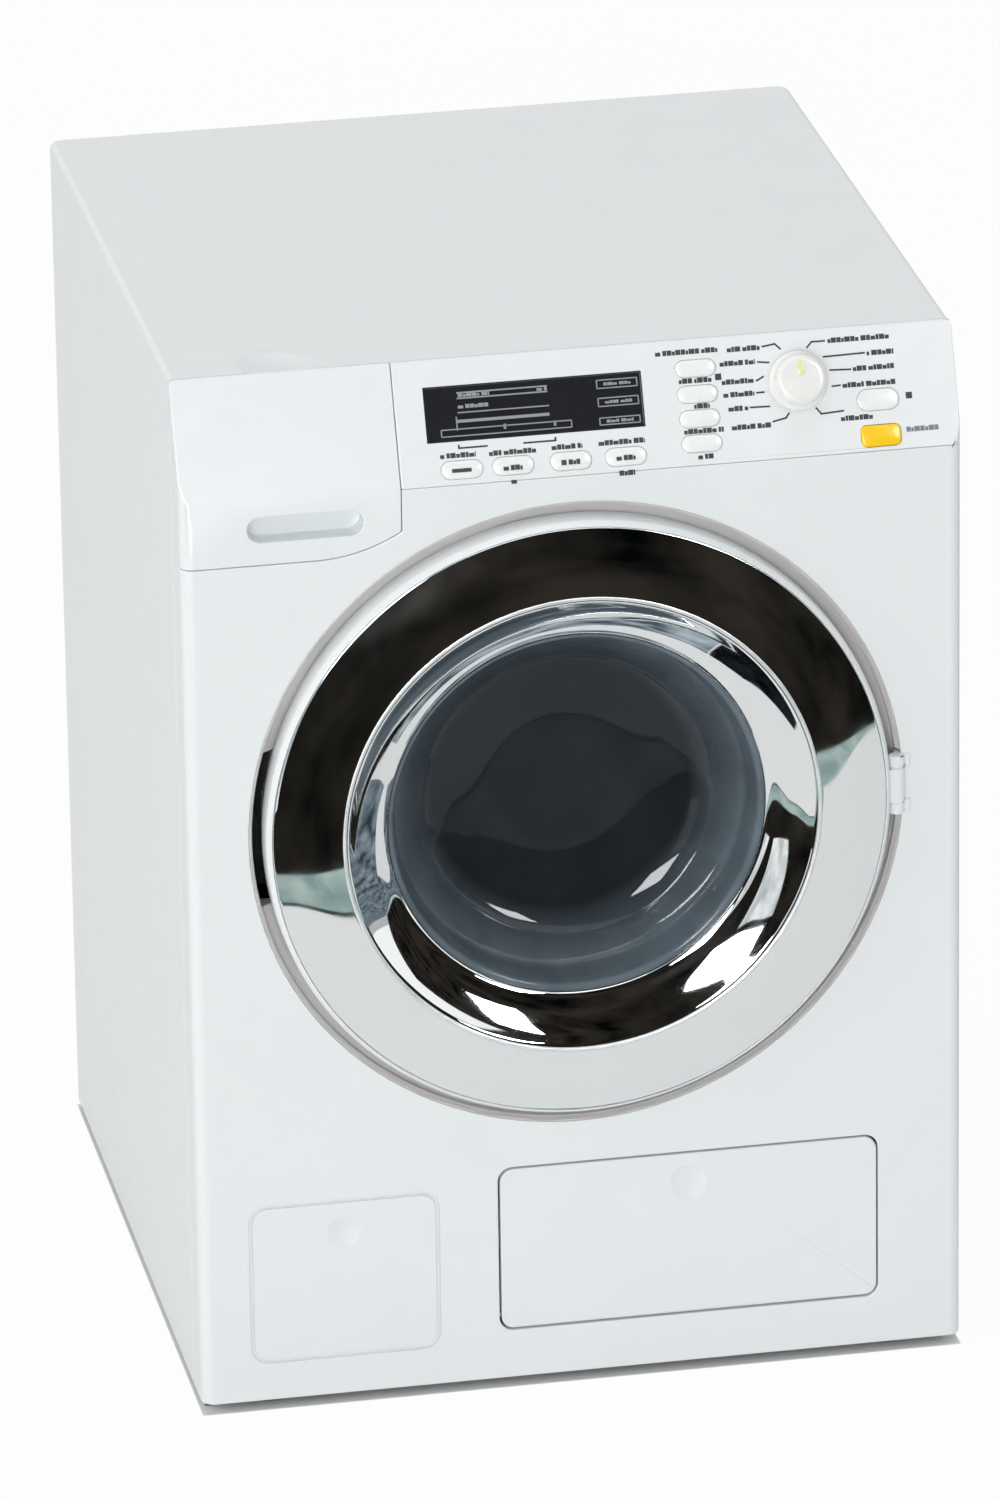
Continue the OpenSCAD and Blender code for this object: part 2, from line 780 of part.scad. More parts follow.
module motor_bracket() {
    y1 = yf + motor_face;
    color([0.55, 0.56, 0.58])
        difference() {
            union() {
                blk(motor_x - bracket_x, motor_x + bracket_x, y1 + seat, y1 + seat + 2.4,
                    base_top + seat, motor_z + 18);
                blk(motor_x - bracket_x, motor_x + bracket_x, y1 - 20, y1 + seat + 2.4,
                    base_top + seat, base_top + seat + 2.4);
                for (sx = [-1, 1])
                    blk(motor_x + sx * (bracket_x - 1.2) - 1.2, motor_x + sx * (bracket_x - 1.2) + 1.2,
                        y1 - 20, y1 + seat + 1, base_top + seat, motor_z - 16);
            }
            ybar(motor_x, motor_z, 4.1, y1 - 1, y1 + 4);
            for (x = [motor_x - post_x, motor_x + post_x])
                translate([x, y1 - 14, base_top])
                    cylinder(r = 1.6, h = 4);
        }
}

module bracket_screws() {
    color([0.72, 0.73, 0.75])
        for (x = [motor_x - post_x, motor_x + post_x])
            translate([x, yf + motor_face - 14, foot_h + 0.3])
                union() {
                    cylinder(r = 1.4, h = 6);
                    translate([0, 0, base_top - foot_h + 2.3])
                        cylinder(r = 1.9, h = 1.6);
                }
}

module battery_box() {
    color([0.20, 0.21, 0.23])
        difference() {
            union() {
                difference() {
                    blk(box_x0 - 2, box_x1 + 2, box_y0 - 2, yb - wall - seat, box_z0 - 2, box_z1 + 2);
                    blk(box_x0, box_x1, box_y0, yb, box_z0, box_z1);
                }
                for (k = [1, 2])
                    blk(box_x0, box_x1, box_y0 - 1, box_y0 + 4,
                        box_z0 + k * cell_pitch - 0.25, box_z0 + k * cell_pitch + 0.25);
            }
            blk(box_x0 - 3, box_x0 + 1, box_y0 + 5, box_y0 + 7, box_z1 - 12, box_z1 - 9);
        }
}

module battery_cells() {
    for (k = [0 : 2])
        translate([box_x0 + 3.5, box_y0 + 0.4 + cell_d / 2, box_z0 + 0.4 + (k + 0.5) * cell_pitch])
            mirror([k % 2, 0, 0])
                translate([-(k % 2) * cell_l, 0, 0])
                    rotate([0, 90, 0]) {
                        color([0.15, 0.35, 0.30])
                            cylinder(r = cell_d / 2, h = cell_l - 1.5);
                        color([0.8, 0.8, 0.8])
                            cylinder(r = 2.7, h = cell_l);
                    }
}

module battery_contacts() {
    color([0.75, 0.76, 0.78])
        for (k = [0 : 2])
            for (e = [0, 1])
                translate([e == 0 ? box_x0 + 0.2 : box_x1 - 0.6, box_y0 + 2, box_z0 + 1.4 + k * cell_pitch]) {
                    cube([0.4, 12, cell_pitch - 2.4]);
                    translate([e == 0 ? 0.2 : -2.4, 5.6, cell_pitch / 2 - 1])
                        rotate([0, 90, 0])
                            cylinder(r = 2.6, h = 2.6);
                }
}

module battery_cover() {
    color([0.80, 0.81, 0.83])
        difference() {
            union() {
                blk(box_x0 - lid_over, box_x1 + lid_over, yb - 2, yb, box_z0 - lid_over, lid_z1);
                blk(box_x0 + 5, box_x1 - 5, yb - wall + 0.2, yb - 1, box_z0 + 0.6, box_z0 + 2);
            }
            ybar(lid_x, lid_screw_z, 1.6, yb - 4, yb + 1);
            ybar(lid_x, lid_screw_z, 2.8, yb - 1.3, yb + 1);
            for (i = [0 : 4])
                blk(lid_x - 15, lid_x + 15, yb - 0.6, yb + 1,
                    box_z0 + 4.5 + i * 3, box_z0 + 5.7 + i * 3);
        }
}

module battery_screw() {
    color([0.72, 0.73, 0.75])
        screw_at(lid_x, lid_screw_z, 1.4, 2.6, yb, yb - 8.5, -1);
}

module circuit_board() {
    color([0.10, 0.36, 0.22])
        difference() {
            at_slope(0, 0)
                translate([board_x0, pcb_d, 0.8])
                    cube([board_x1 - board_x0, pcb_t, board_h]);
            for (p = board_posts)
                at_slope(p[0], p[1])
                    translate([0, pcb_d - 1, 0])
                        rotate([-90, 0, 0])
                            cylinder(r = 1.2, h = 4);
        }
}

module cover_screws() {
    color([0.72, 0.73, 0.75])
        for (p = rear_screws)
            screw_at(p[0], p[1], 1.4, 2.6, yb, yb - 8.5, -1);
}

module one_switch(x, s) {
    difference() {
        at_slope(x, s)
            translate([-3, 6.2, -1.9])
                cube([6, pcb_d - 6.2 - 0.02, 3.8]);
        at_slope(x, s)
            translate([0, 5, 0])
                rotate([-90, 0, 0])
                    cylinder(r = 1.15, h = 3.6);
    }
}

module push_switches() {
    color([0.15, 0.15, 0.16]) {
        for (x = row_x)
            one_switch(x, row_s);
        for (s = col_s)
            one_switch(col_x, s);
        one_switch(start_x, start_s);
        one_switch(start_x, yellow_s);
    }
}

module encoder() {
    color([0.30, 0.31, 0.33])
        difference() {
            at_slope(knob_x, knob_s)
                translate([-6, 4.2, -6])
                    cube([12, pcb_d - 4.2 - 0.02, 12]);
            at_slope(knob_x, knob_s)
                translate([0, 3, 0])
                    rotate([-90, 0, 0])
                        cylinder(r = spindle_r + 0.06, h = 5.4);
        }
}

module knob() {
    color([0.94, 0.93, 0.88])
        at_slope(knob_x, knob_s)
            difference() {
                rotate([90, 0, 0])
                    rotate_extrude($fn = 96)
                        polygon([[0, -8], [spindle_r, -8], [spindle_r, 0.4], [knob_d / 2 - 0.3, 0.4],
                            [knob_d / 2, 0.8], [knob_d / 2 - 0.4, 2.4], [knob_d / 2 - 1.4, 2.9],
                            [knob_d / 2 - 1.6, knob_h - 1.0], [knob_d / 2 - 2.2, knob_h - 0.4],
                            [0, knob_h]]);
                translate([-0.5, -knob_h - 1, 1.5])
                    cube([1, 1.5, 3.4]);
            }
}

module display_lens() {
    color([0.03, 0.03, 0.04])
        at_slope(lens_x, lens_s) {
            translate([-lens_w / 2, -0.1, -lens_h / 2])
                cube([lens_w, plate_t + 0.4, lens_h]);
            translate([-lens_w / 2 - 2, plate_t + seat, -lens_h / 2 - 1.2])
                cube([lens_w + 4, 1, lens_h + 2.4]);
        }
}

module display_module() {
    color([0.20, 0.22, 0.24])
        at_slope(lens_x, lens_s)
            translate([-24, plate_t + 1.3, -5.6])
                cube([48, pcb_d - plate_t - 1.3 - 0.02, 11.2]);
}

module speaker() {
    color([0.18, 0.18, 0.20])
        translate([speaker_x, speaker_y, base_top + seat])
            difference() {
                union() {
                    cylinder(r = 19, h = 3);
                    cylinder(r = 16, h = 7);
                    cylinder(r = 9, h = 12);
                }
                translate([0, 0, -1])
                    cylinder(r = 14, h = 2.5);
            }
}

module push_button(x, s, w, h, r = 0) {
    pill(x, s, w, h, -0.8, plate_t + 0.5, r);
    pill(x, s, w + 1.2, h + 1.0, plate_t + 0.3, plate_t + 1.1, r);
    at_slope(x, s)
        translate([0, plate_t + 1, 0])
            rotate([-90, 0, 0])
                cylinder(r = 1, h = 3.2);
}

module button_row_1() {
    color([0.88, 0.89, 0.90])
        push_button(row_x[0], row_s, row_w, row_h);
}

module button_row_2() {
    color([0.88, 0.89, 0.90])
        push_button(row_x[1], row_s, row_w, row_h);
}

module button_row_3() {
    color([0.88, 0.89, 0.90])
        push_button(row_x[2], row_s, row_w, row_h);
}

module button_row_4() {
    color([0.88, 0.89, 0.90])
        push_button(row_x[3], row_s, row_w, row_h);
}

module button_col_1() {
    color([0.88, 0.89, 0.90])
        push_button(col_x, col_s[0], col_w, col_h);
}

module button_col_2() {
    color([0.88, 0.89, 0.90])
        push_button(col_x, col_s[1], col_w, col_h);
}

module button_col_3() {
    color([0.88, 0.89, 0.90])
        push_button(col_x, col_s[2], col_w, col_h);
}

module button_col_4() {
    color([0.88, 0.89, 0.90])
        push_button(col_x, col_s[3], col_w, col_h);
}

module button_white() {
    color([0.92, 0.92, 0.93])
        push_button(start_x, start_s, start_w, start_h);
}

module button_yellow() {
    color([0.98, 0.76, 0.06])
        push_button(start_x, yellow_s, yellow_w, yellow_h, yellow_r);
}

module drawer_front() {
    color([0.93, 0.94, 0.95])
        difference() {
            union() {
                intersection() {
                    front_skin();
                    drawer_zone(seam / 2);
                }
                intersection() {
                    blk(xl + 6.5, drawer_x - 3.4, yf + 1, yf + 9, tray_z0 - 0.2, kink_z - 1);
                    drawer_zone(seam);
                }
            }
            tile(xl + 15.5, drawer_x - 8.9, drawer_z + 5.5, drawer_z + 11.9, yf - 1, yf + 5.5, 3.1);
        }
}

module drawer_tray() {
    y1 = tray_y0 + tray_d;
    split = tray_y0 + tray_d * 0.45;
    color([0.86, 0.87, 0.89])
        difference() {
            blk(tray_x0, tray_x1, tray_y0, y1, tray_z0, tray_z1);
            blk(tray_x0 + 1.6, tray_x1 - 1.6, tray_y0 + 1.6, split, tray_z0 + 1.6, tray_z1 + 1);
            blk(tray_x0 + 1.6, tray_x1 - 1.6, split + 1.6, y1 - 1.6, tray_z0 + 1.6, tray_z1 + 1);
            blk(tray_x0 + 14, tray_x0 + 20, split + 10, split + 24, tray_z0 - 1, tray_z0 + 2);
            blk(tray_x0 - 1, tray_x1 + 1, yf, tray_y0 + 13, tray_z1 - 4, tray_z1 + 1);
        }
}

module drawer_housing() {
    x0 = tray_x0 - tray_gap;
    x1 = tray_x1 + tray_gap;
    z0 = tray_z0 - 0.3;
    y0 = tray_y0 + 7;
    y1 = tray_y0 + tray_d + 1;
    color([0.66, 0.68, 0.71])
        difference() {
            blk(xl + wall + seat, x1 + 1.6, y0, y1 + 1.6, z0 - 2, tray_z1 + 3);
            blk(x0, x1, y0 - 1, y1, z0, tray_z1 + 0.5);
            blk(x0 + 3, x1 - 3, y0 - 1, y1, z0, tray_z1 + 4);
            translate([inlet_x, inlet_y, z0 - 5])
                cylinder(r = 4.05, h = 8);
        }
}

module fill_tube() {
    color([0.75, 0.77, 0.80])
        difference() {
            translate([inlet_x, inlet_y, inlet_z - 7.9])
                cylinder(r = 4, h = tray_z0 - 0.4 - inlet_z + 7.9);
            translate([inlet_x, inlet_y, inlet_z - 11])
                cylinder(r = 3, h = tray_z0 - inlet_z + 13);
        }
}

module drain_tube() {
    color([0.75, 0.77, 0.80])
        difference() {
            translate([outlet_x, outlet_y, flap_top + 1])
                cylinder(r = 5, h = outlet_z + 5.9 - flap_top - 1);
            translate([outlet_x, outlet_y, flap_top - 1])
                cylinder(r = 3.8, h = outlet_z + 8 - flap_top);
        }
}

module dosing_flap() {
    color([0.93, 0.94, 0.95])
        difference() {
            intersection() {
                union() {
                    blk(flap_left, flap_right, yf, yf + 2.6, flap_z + 1, flap_top);
                    blk(flap_left, flap_right, yf + 1, yf + 2.6, flap_z, flap_z + 2);
                    translate([flap_left, yf + 1, flap_z + 1])
                        rotate([0, 90, 0])
                            cylinder(r = 1, h = flap_w);
                    translate([flap_left, yf + flap_barrel_r, flap_pin_z])
                        rotate([0, 90, 0])
                            cylinder(r = flap_barrel_r, h = flap_w);
                }
                tile(flap_left, flap_right, flap_z, flap_top, yf - 1, yf + 8, flap_r);
            }
            translate([flap_left - 1, yf + flap_barrel_r, flap_pin_z])
                rotate([0, 90, 0])
                    cylinder(r = flap_pin_r + 0.06, h = flap_w + 2);
            dimple(flap_x, flap_top - 7.4, 4.8, 0.9);
        }
}

module flap_pin() {
    color([0.70, 0.71, 0.73])
        translate([flap_left - 4, yf + flap_barrel_r, flap_pin_z])
            rotate([0, 90, 0])
                cylinder(r = flap_pin_r, h = flap_w + 8);
}

module flap_box() {
    x0 = flap_left - 0.8;
    x1 = flap_right + 0.8;
    z0 = flap_z - 1;
    z1 = flap_top + 0.8;
    y0 = yf + wall + seat;
    color([0.60, 0.62, 0.65])
        difference() {
            blk(x0 - 2, x1 + 2, y0, y0 + flap_box_d, z0 - 2, z1 + 2);
            blk(x0, x1, y0 - 1, y0 + flap_box_d - 2, z0, z1);
            translate([outlet_x, outlet_y, z1 - 1])
                cylinder(r = 5.05, h = 4);
        }
}

// flat ring profile points of the convex chrome face, from the outer to the inner edge
function crown(n) = [for (i = [0 : n])
    let (t = i / n)
    [chrome_r + (chrome_in_r - chrome_r) * t, -4.6 - crown_rise * t - crown_swell * sin(180 * t)]];

module door_frame() {
    color([0.93, 0.94, 0.95])
        difference() {
            union() {
                difference() {
                    at_door()
                        rotate_extrude($fn = 96)
                            polygon([[chrome_in_r + 0.6, 3.5], [chrome_in_r + 0.6, -2.2],
                                [chrome_r + 0.1, -2.2],
                                [chrome_r + 0.1, -4.3], [chrome_r + 0.4, -4.4],
                                [door_r - 0.2, -3.0], [door_r, -2.6], [door_r, 3.0],
                                [door_r - 0.5, 3.5]]);
                    translate([hinge_x, hinge_y, tab_lo - 0.4])
                        cylinder(r = knuckle_r + 0.35, h = tab_hi - tab_lo + 0.8);
                }
                translate([hinge_x, hinge_y, tab_lo + ear_h + 0.25])
                    cylinder(r = knuckle_r, h = tab_hi - tab_lo - 2 * ear_h - 0.5);
                blk(door_r - 1.1, hinge_x, hinge_y - knuckle_r, hinge_y + 1.2,
                    tab_lo + ear_h + 0.25, tab_hi - ear_h - 0.25);
                blk(latch_x, latch_x + 1.3, yf + 3, yf + floor_back + 4, door_z - 4, door_z + 4);
            }
            translate([hinge_x, hinge_y, tab_lo])
                cylinder(r = pin_r + pin_gap, h = tab_hi - tab_lo);
            at_door()
                for (a = [30 : 60 : 330])
                    rotate([0, 0, a])
                        translate([screw_ring_r, 0, -0.5])
                            cylinder(r = 1.12, h = 5, $fn = 32);
        }
}

module chrome_ring() {
    color([0.80, 0.81, 0.83])
        at_door()
            rotate_extrude($fn = 96)
                polygon(concat(crown(10), [[chrome_in_r, -2.3], [chrome_in_r + 1.6, -2.3],
                    [chrome_in_r + 1.6, -5.8], [chrome_r - 1.6, -3.8], [chrome_r - 1.6, -2.3],
                    [chrome_r, -2.3]]));
}

module chrome_funnel() {
    color([0.80, 0.81, 0.83])
        at_door()
            rotate_extrude($fn = 96)
                polygon([[chrome_in_r - 0.1, -7.2], [chrome_in_r - 0.5, -nose],
                    [chrome_in_r - 1.1, -7.4], [chrome_in_r - 4, -4.8], [glass_r + 4, -2.4],
                    [glass_r + 1, -0.8], [glass_r, 0.2], [glass_r, 1.1],
                    [chrome_in_r - 0.1, 1.1]]);
}

module glass_bowl() {
    b = bowl_depth;
    t = glass_t;
    color([0.35, 0.42, 0.47, 0.5])
        at_door()
            rotate_extrude($fn = 96)
                polygon([[0, b], [glass_r - 12.6, b - 0.4], [glass_r - 11.6, b - 1.2],
                    [glass_r - 3.8, 10.6], [glass_r - 2.8, 9.4], [glass_r - 1.4, 1.9],
                    [glass_r - 0.6, 1.2], [chrome_in_r + 0.4, 1.2], [chrome_in_r + 0.4, 3.4],
                    [glass_r + 0.6, 3.4], [glass_r - 0.9, 10.4],
                    [glass_r - 2.2, 12], [glass_r - 9.8, b + t - 1.4],
                    [glass_r - 11.8, b + t - 0.3], [0, b + t]]);
}

module door_back_ring() {
    color([0.88, 0.89, 0.90])
        difference() {
            ring(screw_ring_r + 5, glass_r + 1.2, 3.6, 5.6);
            at_door()
                for (a = [30 : 60 : 330])
                    rotate([0, 0, a])
                        translate([screw_ring_r, 0, 3]) {
                            cylinder(r = 1.3, h = 4, $fn = 32);
                            translate([0, 0, 1.4])
                                cylinder(r = 2.3, h = 4, $fn = 32);
                        }
        }
}

module door_parts_screws() {
    color([0.72, 0.73, 0.75])
        at_door()
            for (a = [30 : 60 : 330])
                rotate([0, 0, a])
                    translate([screw_ring_r, 0, -0.3]) {
                        cylinder(r = 1.1, h = 5, $fn = 32);
                        translate([0, 0, 4.75])
                            cylinder(r = 2.1, h = 1.1, $fn = 32);
                    }
}

module hinge_pin() {
    color([0.70, 0.71, 0.73])
        translate([hinge_x, hinge_y, tab_lo])
            cylinder(r = pin_r, h = tab_hi - tab_lo - 0.4);
}

cabinet();
front_panel();
fascia_panel();
top_cover();
rear_cover();
base_plate();
feet();
door_surround();
door_gasket();
tub();
shaft_bearings();
drum();
drum_paddles();
drum_nut();
drum_shaft();
drum_pulley();
drive_belt();
motor_pulley();
motor_shaft();
motor();
motor_bracket();
bracket_screws();
battery_box();
battery_cells();
battery_contacts();
battery_cover();
battery_screw();
circuit_board();
cover_screws();
push_switches();
encoder();
knob();
display_lens();
display_module();
speaker();
button_row_1();
button_row_2();
button_row_3();
button_row_4();
button_col_1();
button_col_2();
button_col_3();
button_col_4();
button_white();
button_yellow();
drawer_front();
drawer_tray();
drawer_housing();
dosing_flap();
flap_pin();
flap_box();
fill_tube();
drain_tube();
door_frame();
chrome_ring();
chrome_funnel();
glass_bowl();
door_back_ring();
door_parts_screws();
hinge_pin();
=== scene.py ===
import json
import math

import bmesh
import bpy
from mathutils import Matrix, Vector


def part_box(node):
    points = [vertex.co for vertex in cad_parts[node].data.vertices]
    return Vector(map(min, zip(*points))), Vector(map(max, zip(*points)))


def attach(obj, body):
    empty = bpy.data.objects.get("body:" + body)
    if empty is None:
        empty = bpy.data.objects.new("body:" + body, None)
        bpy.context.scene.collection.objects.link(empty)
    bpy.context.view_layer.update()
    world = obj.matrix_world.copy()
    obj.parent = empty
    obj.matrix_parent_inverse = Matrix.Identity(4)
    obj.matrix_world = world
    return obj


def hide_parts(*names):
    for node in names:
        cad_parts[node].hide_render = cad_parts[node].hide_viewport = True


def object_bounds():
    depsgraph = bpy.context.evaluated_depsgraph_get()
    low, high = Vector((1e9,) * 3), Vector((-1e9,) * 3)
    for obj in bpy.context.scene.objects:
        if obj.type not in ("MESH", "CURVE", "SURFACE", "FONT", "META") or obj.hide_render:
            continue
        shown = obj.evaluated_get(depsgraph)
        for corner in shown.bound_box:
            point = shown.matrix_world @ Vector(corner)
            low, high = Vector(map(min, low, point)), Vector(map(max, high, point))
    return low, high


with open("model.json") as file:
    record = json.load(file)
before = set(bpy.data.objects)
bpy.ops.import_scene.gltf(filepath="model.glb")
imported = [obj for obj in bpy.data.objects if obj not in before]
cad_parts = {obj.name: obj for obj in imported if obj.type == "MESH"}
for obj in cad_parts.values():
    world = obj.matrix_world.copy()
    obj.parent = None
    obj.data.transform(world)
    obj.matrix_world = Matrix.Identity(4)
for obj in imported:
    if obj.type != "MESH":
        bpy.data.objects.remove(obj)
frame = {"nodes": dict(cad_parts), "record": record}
cad_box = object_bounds()

MM = 0.001
NODES = frame["nodes"]
BODY = {n: b for b, ns in frame["record"]["behaviour"]["bodies"].items() for n in ns}

# Places worked out from the frame.
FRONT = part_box("dosing_flap")[0].y
TOP = cad_box[1].z
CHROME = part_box("chrome_ring")
DOOR_Z = (CHROME[0].z + CHROME[1].z) / 2
CHROME_R = (CHROME[1].x - CHROME[0].x) / 2
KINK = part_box("front_panel")[1].z + 0.15 * MM
SETBACK = 12 * MM
SLOPE = math.atan2(SETBACK, TOP - KINK)
UP_SLOPE = Vector((0, math.sin(SLOPE), math.cos(SLOPE)))
OUT_SLOPE = Vector((0, -math.cos(SLOPE), math.sin(SLOPE)))

# Millimetres from here on. Radius of the round opening in the front panel around the door.
RECESS_R = 78.3
# Door hinge pin: across from the door's axis, and out from the panel's face.
PIN_X, PIN_OUT = 76.45, 0.8
# Knob and yellow button on the fascia: across, and up the slope.
KNOB_X, KNOB_S = 54.8, 18
YELLOW_X, YELLOW_S = 73.5, 3.8
# Places across where flat faces are parted: the flap's middle, and one within the moulded square.
FLAP_X, SQUARE_X = 25.9, -55.5
# Corner of the panel's lower left region, which holds the moulded square and nothing else.
SQUARE_RIGHT, SQUARE_TOP = -30, KINK / MM - 150


# Camera

def add_camera():
    """Camera at the photograph's place: angles in degrees, shift and distance in millimetres."""
    azimuth, elevation, roll = (math.radians(v) for v in (-10.746, 21.795, -0.852))
    aside, below, distance = 18.36 * MM, -27.63 * MM, 2662.3 * MM
    back = Vector((math.sin(azimuth) * math.cos(elevation),
                   -math.cos(azimuth) * math.cos(elevation), math.sin(elevation)))
    right = (-back).cross(Vector((0, 0, 1))).normalized()
    up = right.cross(-back)
    right, up = (right * math.cos(roll) + up * math.sin(roll),
                 up * math.cos(roll) - right * math.sin(roll))
    aim = Vector((0, FRONT, 132.5 * MM))
    data = bpy.data.cameras.new("camera")
    data.lens = 271.97
    data.sensor_width = 36
    data.clip_end = 50
    cam = bpy.data.objects.new("camera", data)
    bpy.context.scene.collection.objects.link(cam)
    place = aim - right * aside - up * below + back * distance
    turn = Matrix((right, up, back)).transposed()
    cam.matrix_world = Matrix.Translation(place) @ turn.to_4x4()
    bpy.context.scene.camera = cam


# Materials

def add_node(tree, kind, inputs=None, **settings):
    """Shader node with its settings made and its inputs linked or filled in."""
    made = tree.nodes.new("ShaderNode" + kind)
    for key, value in settings.items():
        setattr(made, key, value)
    for key, value in (inputs or {}).items():
        if isinstance(value, bpy.types.NodeSocket):
            tree.links.new(value, made.inputs[key])
        else:
            made.inputs[key].default_value = value
    return made


def rgb(hexa):
    """Linear colour of a six digit sRGB value."""
    parts = [int(hexa[i:i + 2], 16) / 255 for i in (0, 2, 4)]
    return [p / 12.92 if p <= 0.04045 else ((p + 0.055) / 1.055) ** 2.4 for p in parts] + [1]


def shade(color, factor):
    """The colour made darker or lighter by a factor."""
    return [c * factor for c in color[:3]] + [1]


def finish(name, hexa, rough, tone=0.04, tone_size=14, rough_by=0.05, grain=0.35, depth=0.02,
           bump=0.12, stretch=(1, 1, 1), speck=0.0, **fixed):
    """Moulded or metal surface: cloudy tone, uneven gloss and a fine grain, sizes in millimetres."""
    mat = bpy.data.materials.new(name)
    mat.use_nodes = True
    tree = mat.node_tree
    shader = tree.nodes["Principled BSDF"]
    for key, value in fixed.items():
        shader.inputs[key.replace("_", " ")].default_value = value
    color = rgb(hexa)
    where = add_node(tree, "TexCoord").outputs["Object"]
    where = add_node(tree, "Mapping", {"Vector": where, "Scale": stretch}).outputs[0]
    cloud = add_node(tree, "TexNoise", {"Vector": where, "Scale": 1 / (tone_size * MM), "Detail": 3})
    mix = add_node(tree, "Mix", {"Factor": cloud.outputs["Fac"]}, data_type="RGBA")
    mix.inputs["A"].default_value = shade(color, 1 - tone)
    mix.inputs["B"].default_value = shade(color, 1 + tone * 0.5)
    base = mix.outputs["Result"]
    if speck:
        dots = add_node(tree, "TexNoise", {"Vector": where, "Scale": 1 / (0.8 * MM), "Detail": 2})
        ramp = add_node(tree, "MapRange", {"Value": dots.outputs["Fac"], "From Min": 0.62,
                                           "From Max": 0.75, "To Max": speck})
        over = add_node(tree, "Mix", {"Factor": ramp.outputs[0], "A": base}, data_type="RGBA")
        over.inputs["B"].default_value = shade(color, 0.5)
        base = over.outputs["Result"]
    tree.links.new(base, shader.inputs["Base Color"])
    wear = add_node(tree, "TexNoise", {"Vector": where, "Scale": 1 / (5 * MM), "Detail": 4})
    gloss = add_node(tree, "MapRange", {"Value": wear.outputs["Fac"], "From Min": 0.3,
                                        "From Max": 0.7, "To Min": max(rough - rough_by, 0.01),
                                        "To Max": rough + rough_by})
    tree.links.new(gloss.outputs[0], shader.inputs["Roughness"])
    fine = add_node(tree, "TexNoise", {"Vector": where, "Scale": 1 / (grain * MM), "Detail": 2})
    relief = add_node(tree, "Bump", {"Height": fine.outputs["Fac"], "Strength": bump,
                                     "Distance": depth * MM})
    tree.links.new(relief.outputs[0], shader.inputs["Normal"])
    return mat


def painted_shade_middle(mat, near, far, levels):
    """Painted shade: tint that deepens toward the door's axis between two radii in millimetres."""
    tree = mat.node_tree
    shader = tree.nodes["Principled BSDF"]
    base = shader.inputs["Base Color"].links[0].from_socket
    where = add_node(tree, "TexCoord").outputs["Object"]
    flat = add_node(tree, "Mapping", {"Vector": where, "Location": (0, 0, -DOOR_Z),
                                      "Scale": (1, 0, 1)}).outputs[0]
    radius = add_node(tree, "VectorMath", {0: flat}, operation="LENGTH").outputs["Value"]
    ramp = add_node(tree, "MapRange", {"Value": radius, "From Min": near * MM, "From Max": far * MM,
                                       "To Min": levels[0], "To Max": levels[1]}).outputs[0]
    shaded_base = add_node(tree, "VectorMath", {0: base, "Scale": ramp}, operation="SCALE").outputs[0]
    tree.links.new(shaded_base, shader.inputs["Base Color"])
    return mat


def make_materials():
    """Every surface of the machine, by a short name."""
    return {
        "white": finish("white_plastic", "E6EAEB", 0.34, tone=0.02, Specular_IOR_Level=0.4),
        "cap": finish("cap_plastic", "EEF0F0", 0.28, tone=0.015, tone_size=5),
        "knob": finish("knob_plastic", "ECECE9", 0.26, tone=0.02, tone_size=4),
        # Grey of the door recess ring: painted shade for the shadowed recess around the door.
        "recess_shade_grey": finish("grey_plastic", "C7C5C4", 0.42, tone=0.03),
        "light_grey": finish("light_grey_plastic", "D6D8DA", 0.4, tone=0.03),
        "dark": finish("dark_plastic", "33363A", 0.5, tone=0.12, speck=0.2),
        "rubber": finish("rubber", "1E1F21", 0.72, tone=0.2, tone_size=6, grain=0.5, bump=0.3,
                         speck=0.3),
        "steel": finish("steel", "C4C6C8", 0.36, tone=0.08, grain=0.25, stretch=(1, 0.06, 1),
                        bump=0.1, Metallic=1.0),
        "chrome": finish("chrome_plate", "F0F3F3", 0.035, tone=0.015, rough_by=0.015, bump=0.01,
                         Metallic=1.0),
        "satin_chrome": finish("satin_chrome", "FAFCFC", 0.42, tone=0.03, tone_size=5, bump=0.03,
                               Metallic=1.0),
        # The smoke glass darkens toward its middle: painted shade of the dark drum behind the bowl.
        "glass": painted_shade_middle(finish("smoke_glass", "8C9BA6", 0.03, tone=0.45, tone_size=11,
                                      rough_by=0.01, bump=0.01, Transmission_Weight=0.5,
                                      IOR=1.36), 31, 44, (0.13, 1.0)),
        "yellow": finish("yellow_plastic", "FFCF06", 0.25, tone=0.03, tone_size=4),
        "pointer": finish("pointer_paint", "E4E2AC", 0.4, tone=0.05, tone_size=2),
        "black": finish("black_gloss", "25262A", 0.1, tone=0.1, rough_by=0.03, bump=0.02),
        "board": finish("board", "1F6B45", 0.45, tone=0.2, tone_size=3, grain=1.2, bump=0.5,
                        speck=0.5),
        "wrap": finish("battery_wrap", "2D6B5E", 0.35, tone=0.12, tone_size=6),
        "bronze": finish("bronze", "A9854A", 0.4, tone=0.15, tone_size=3, Metallic=1.0),
        "belt": finish("belt", "17171A", 0.65, tone=0.2, tone_size=4, grain=0.6, bump=0.4),
        "print": finish("print_ink", "1D1F24", 0.6, tone=0.1, tone_size=2),
        "pale_print": finish("pale_print_ink", "8A9098", 0.5, tone=0.15, tone_size=2),
        "thin_print": finish("thin_print_ink", "73777C", 0.6, tone=0.1, tone_size=2),
    }


# Mesh helpers

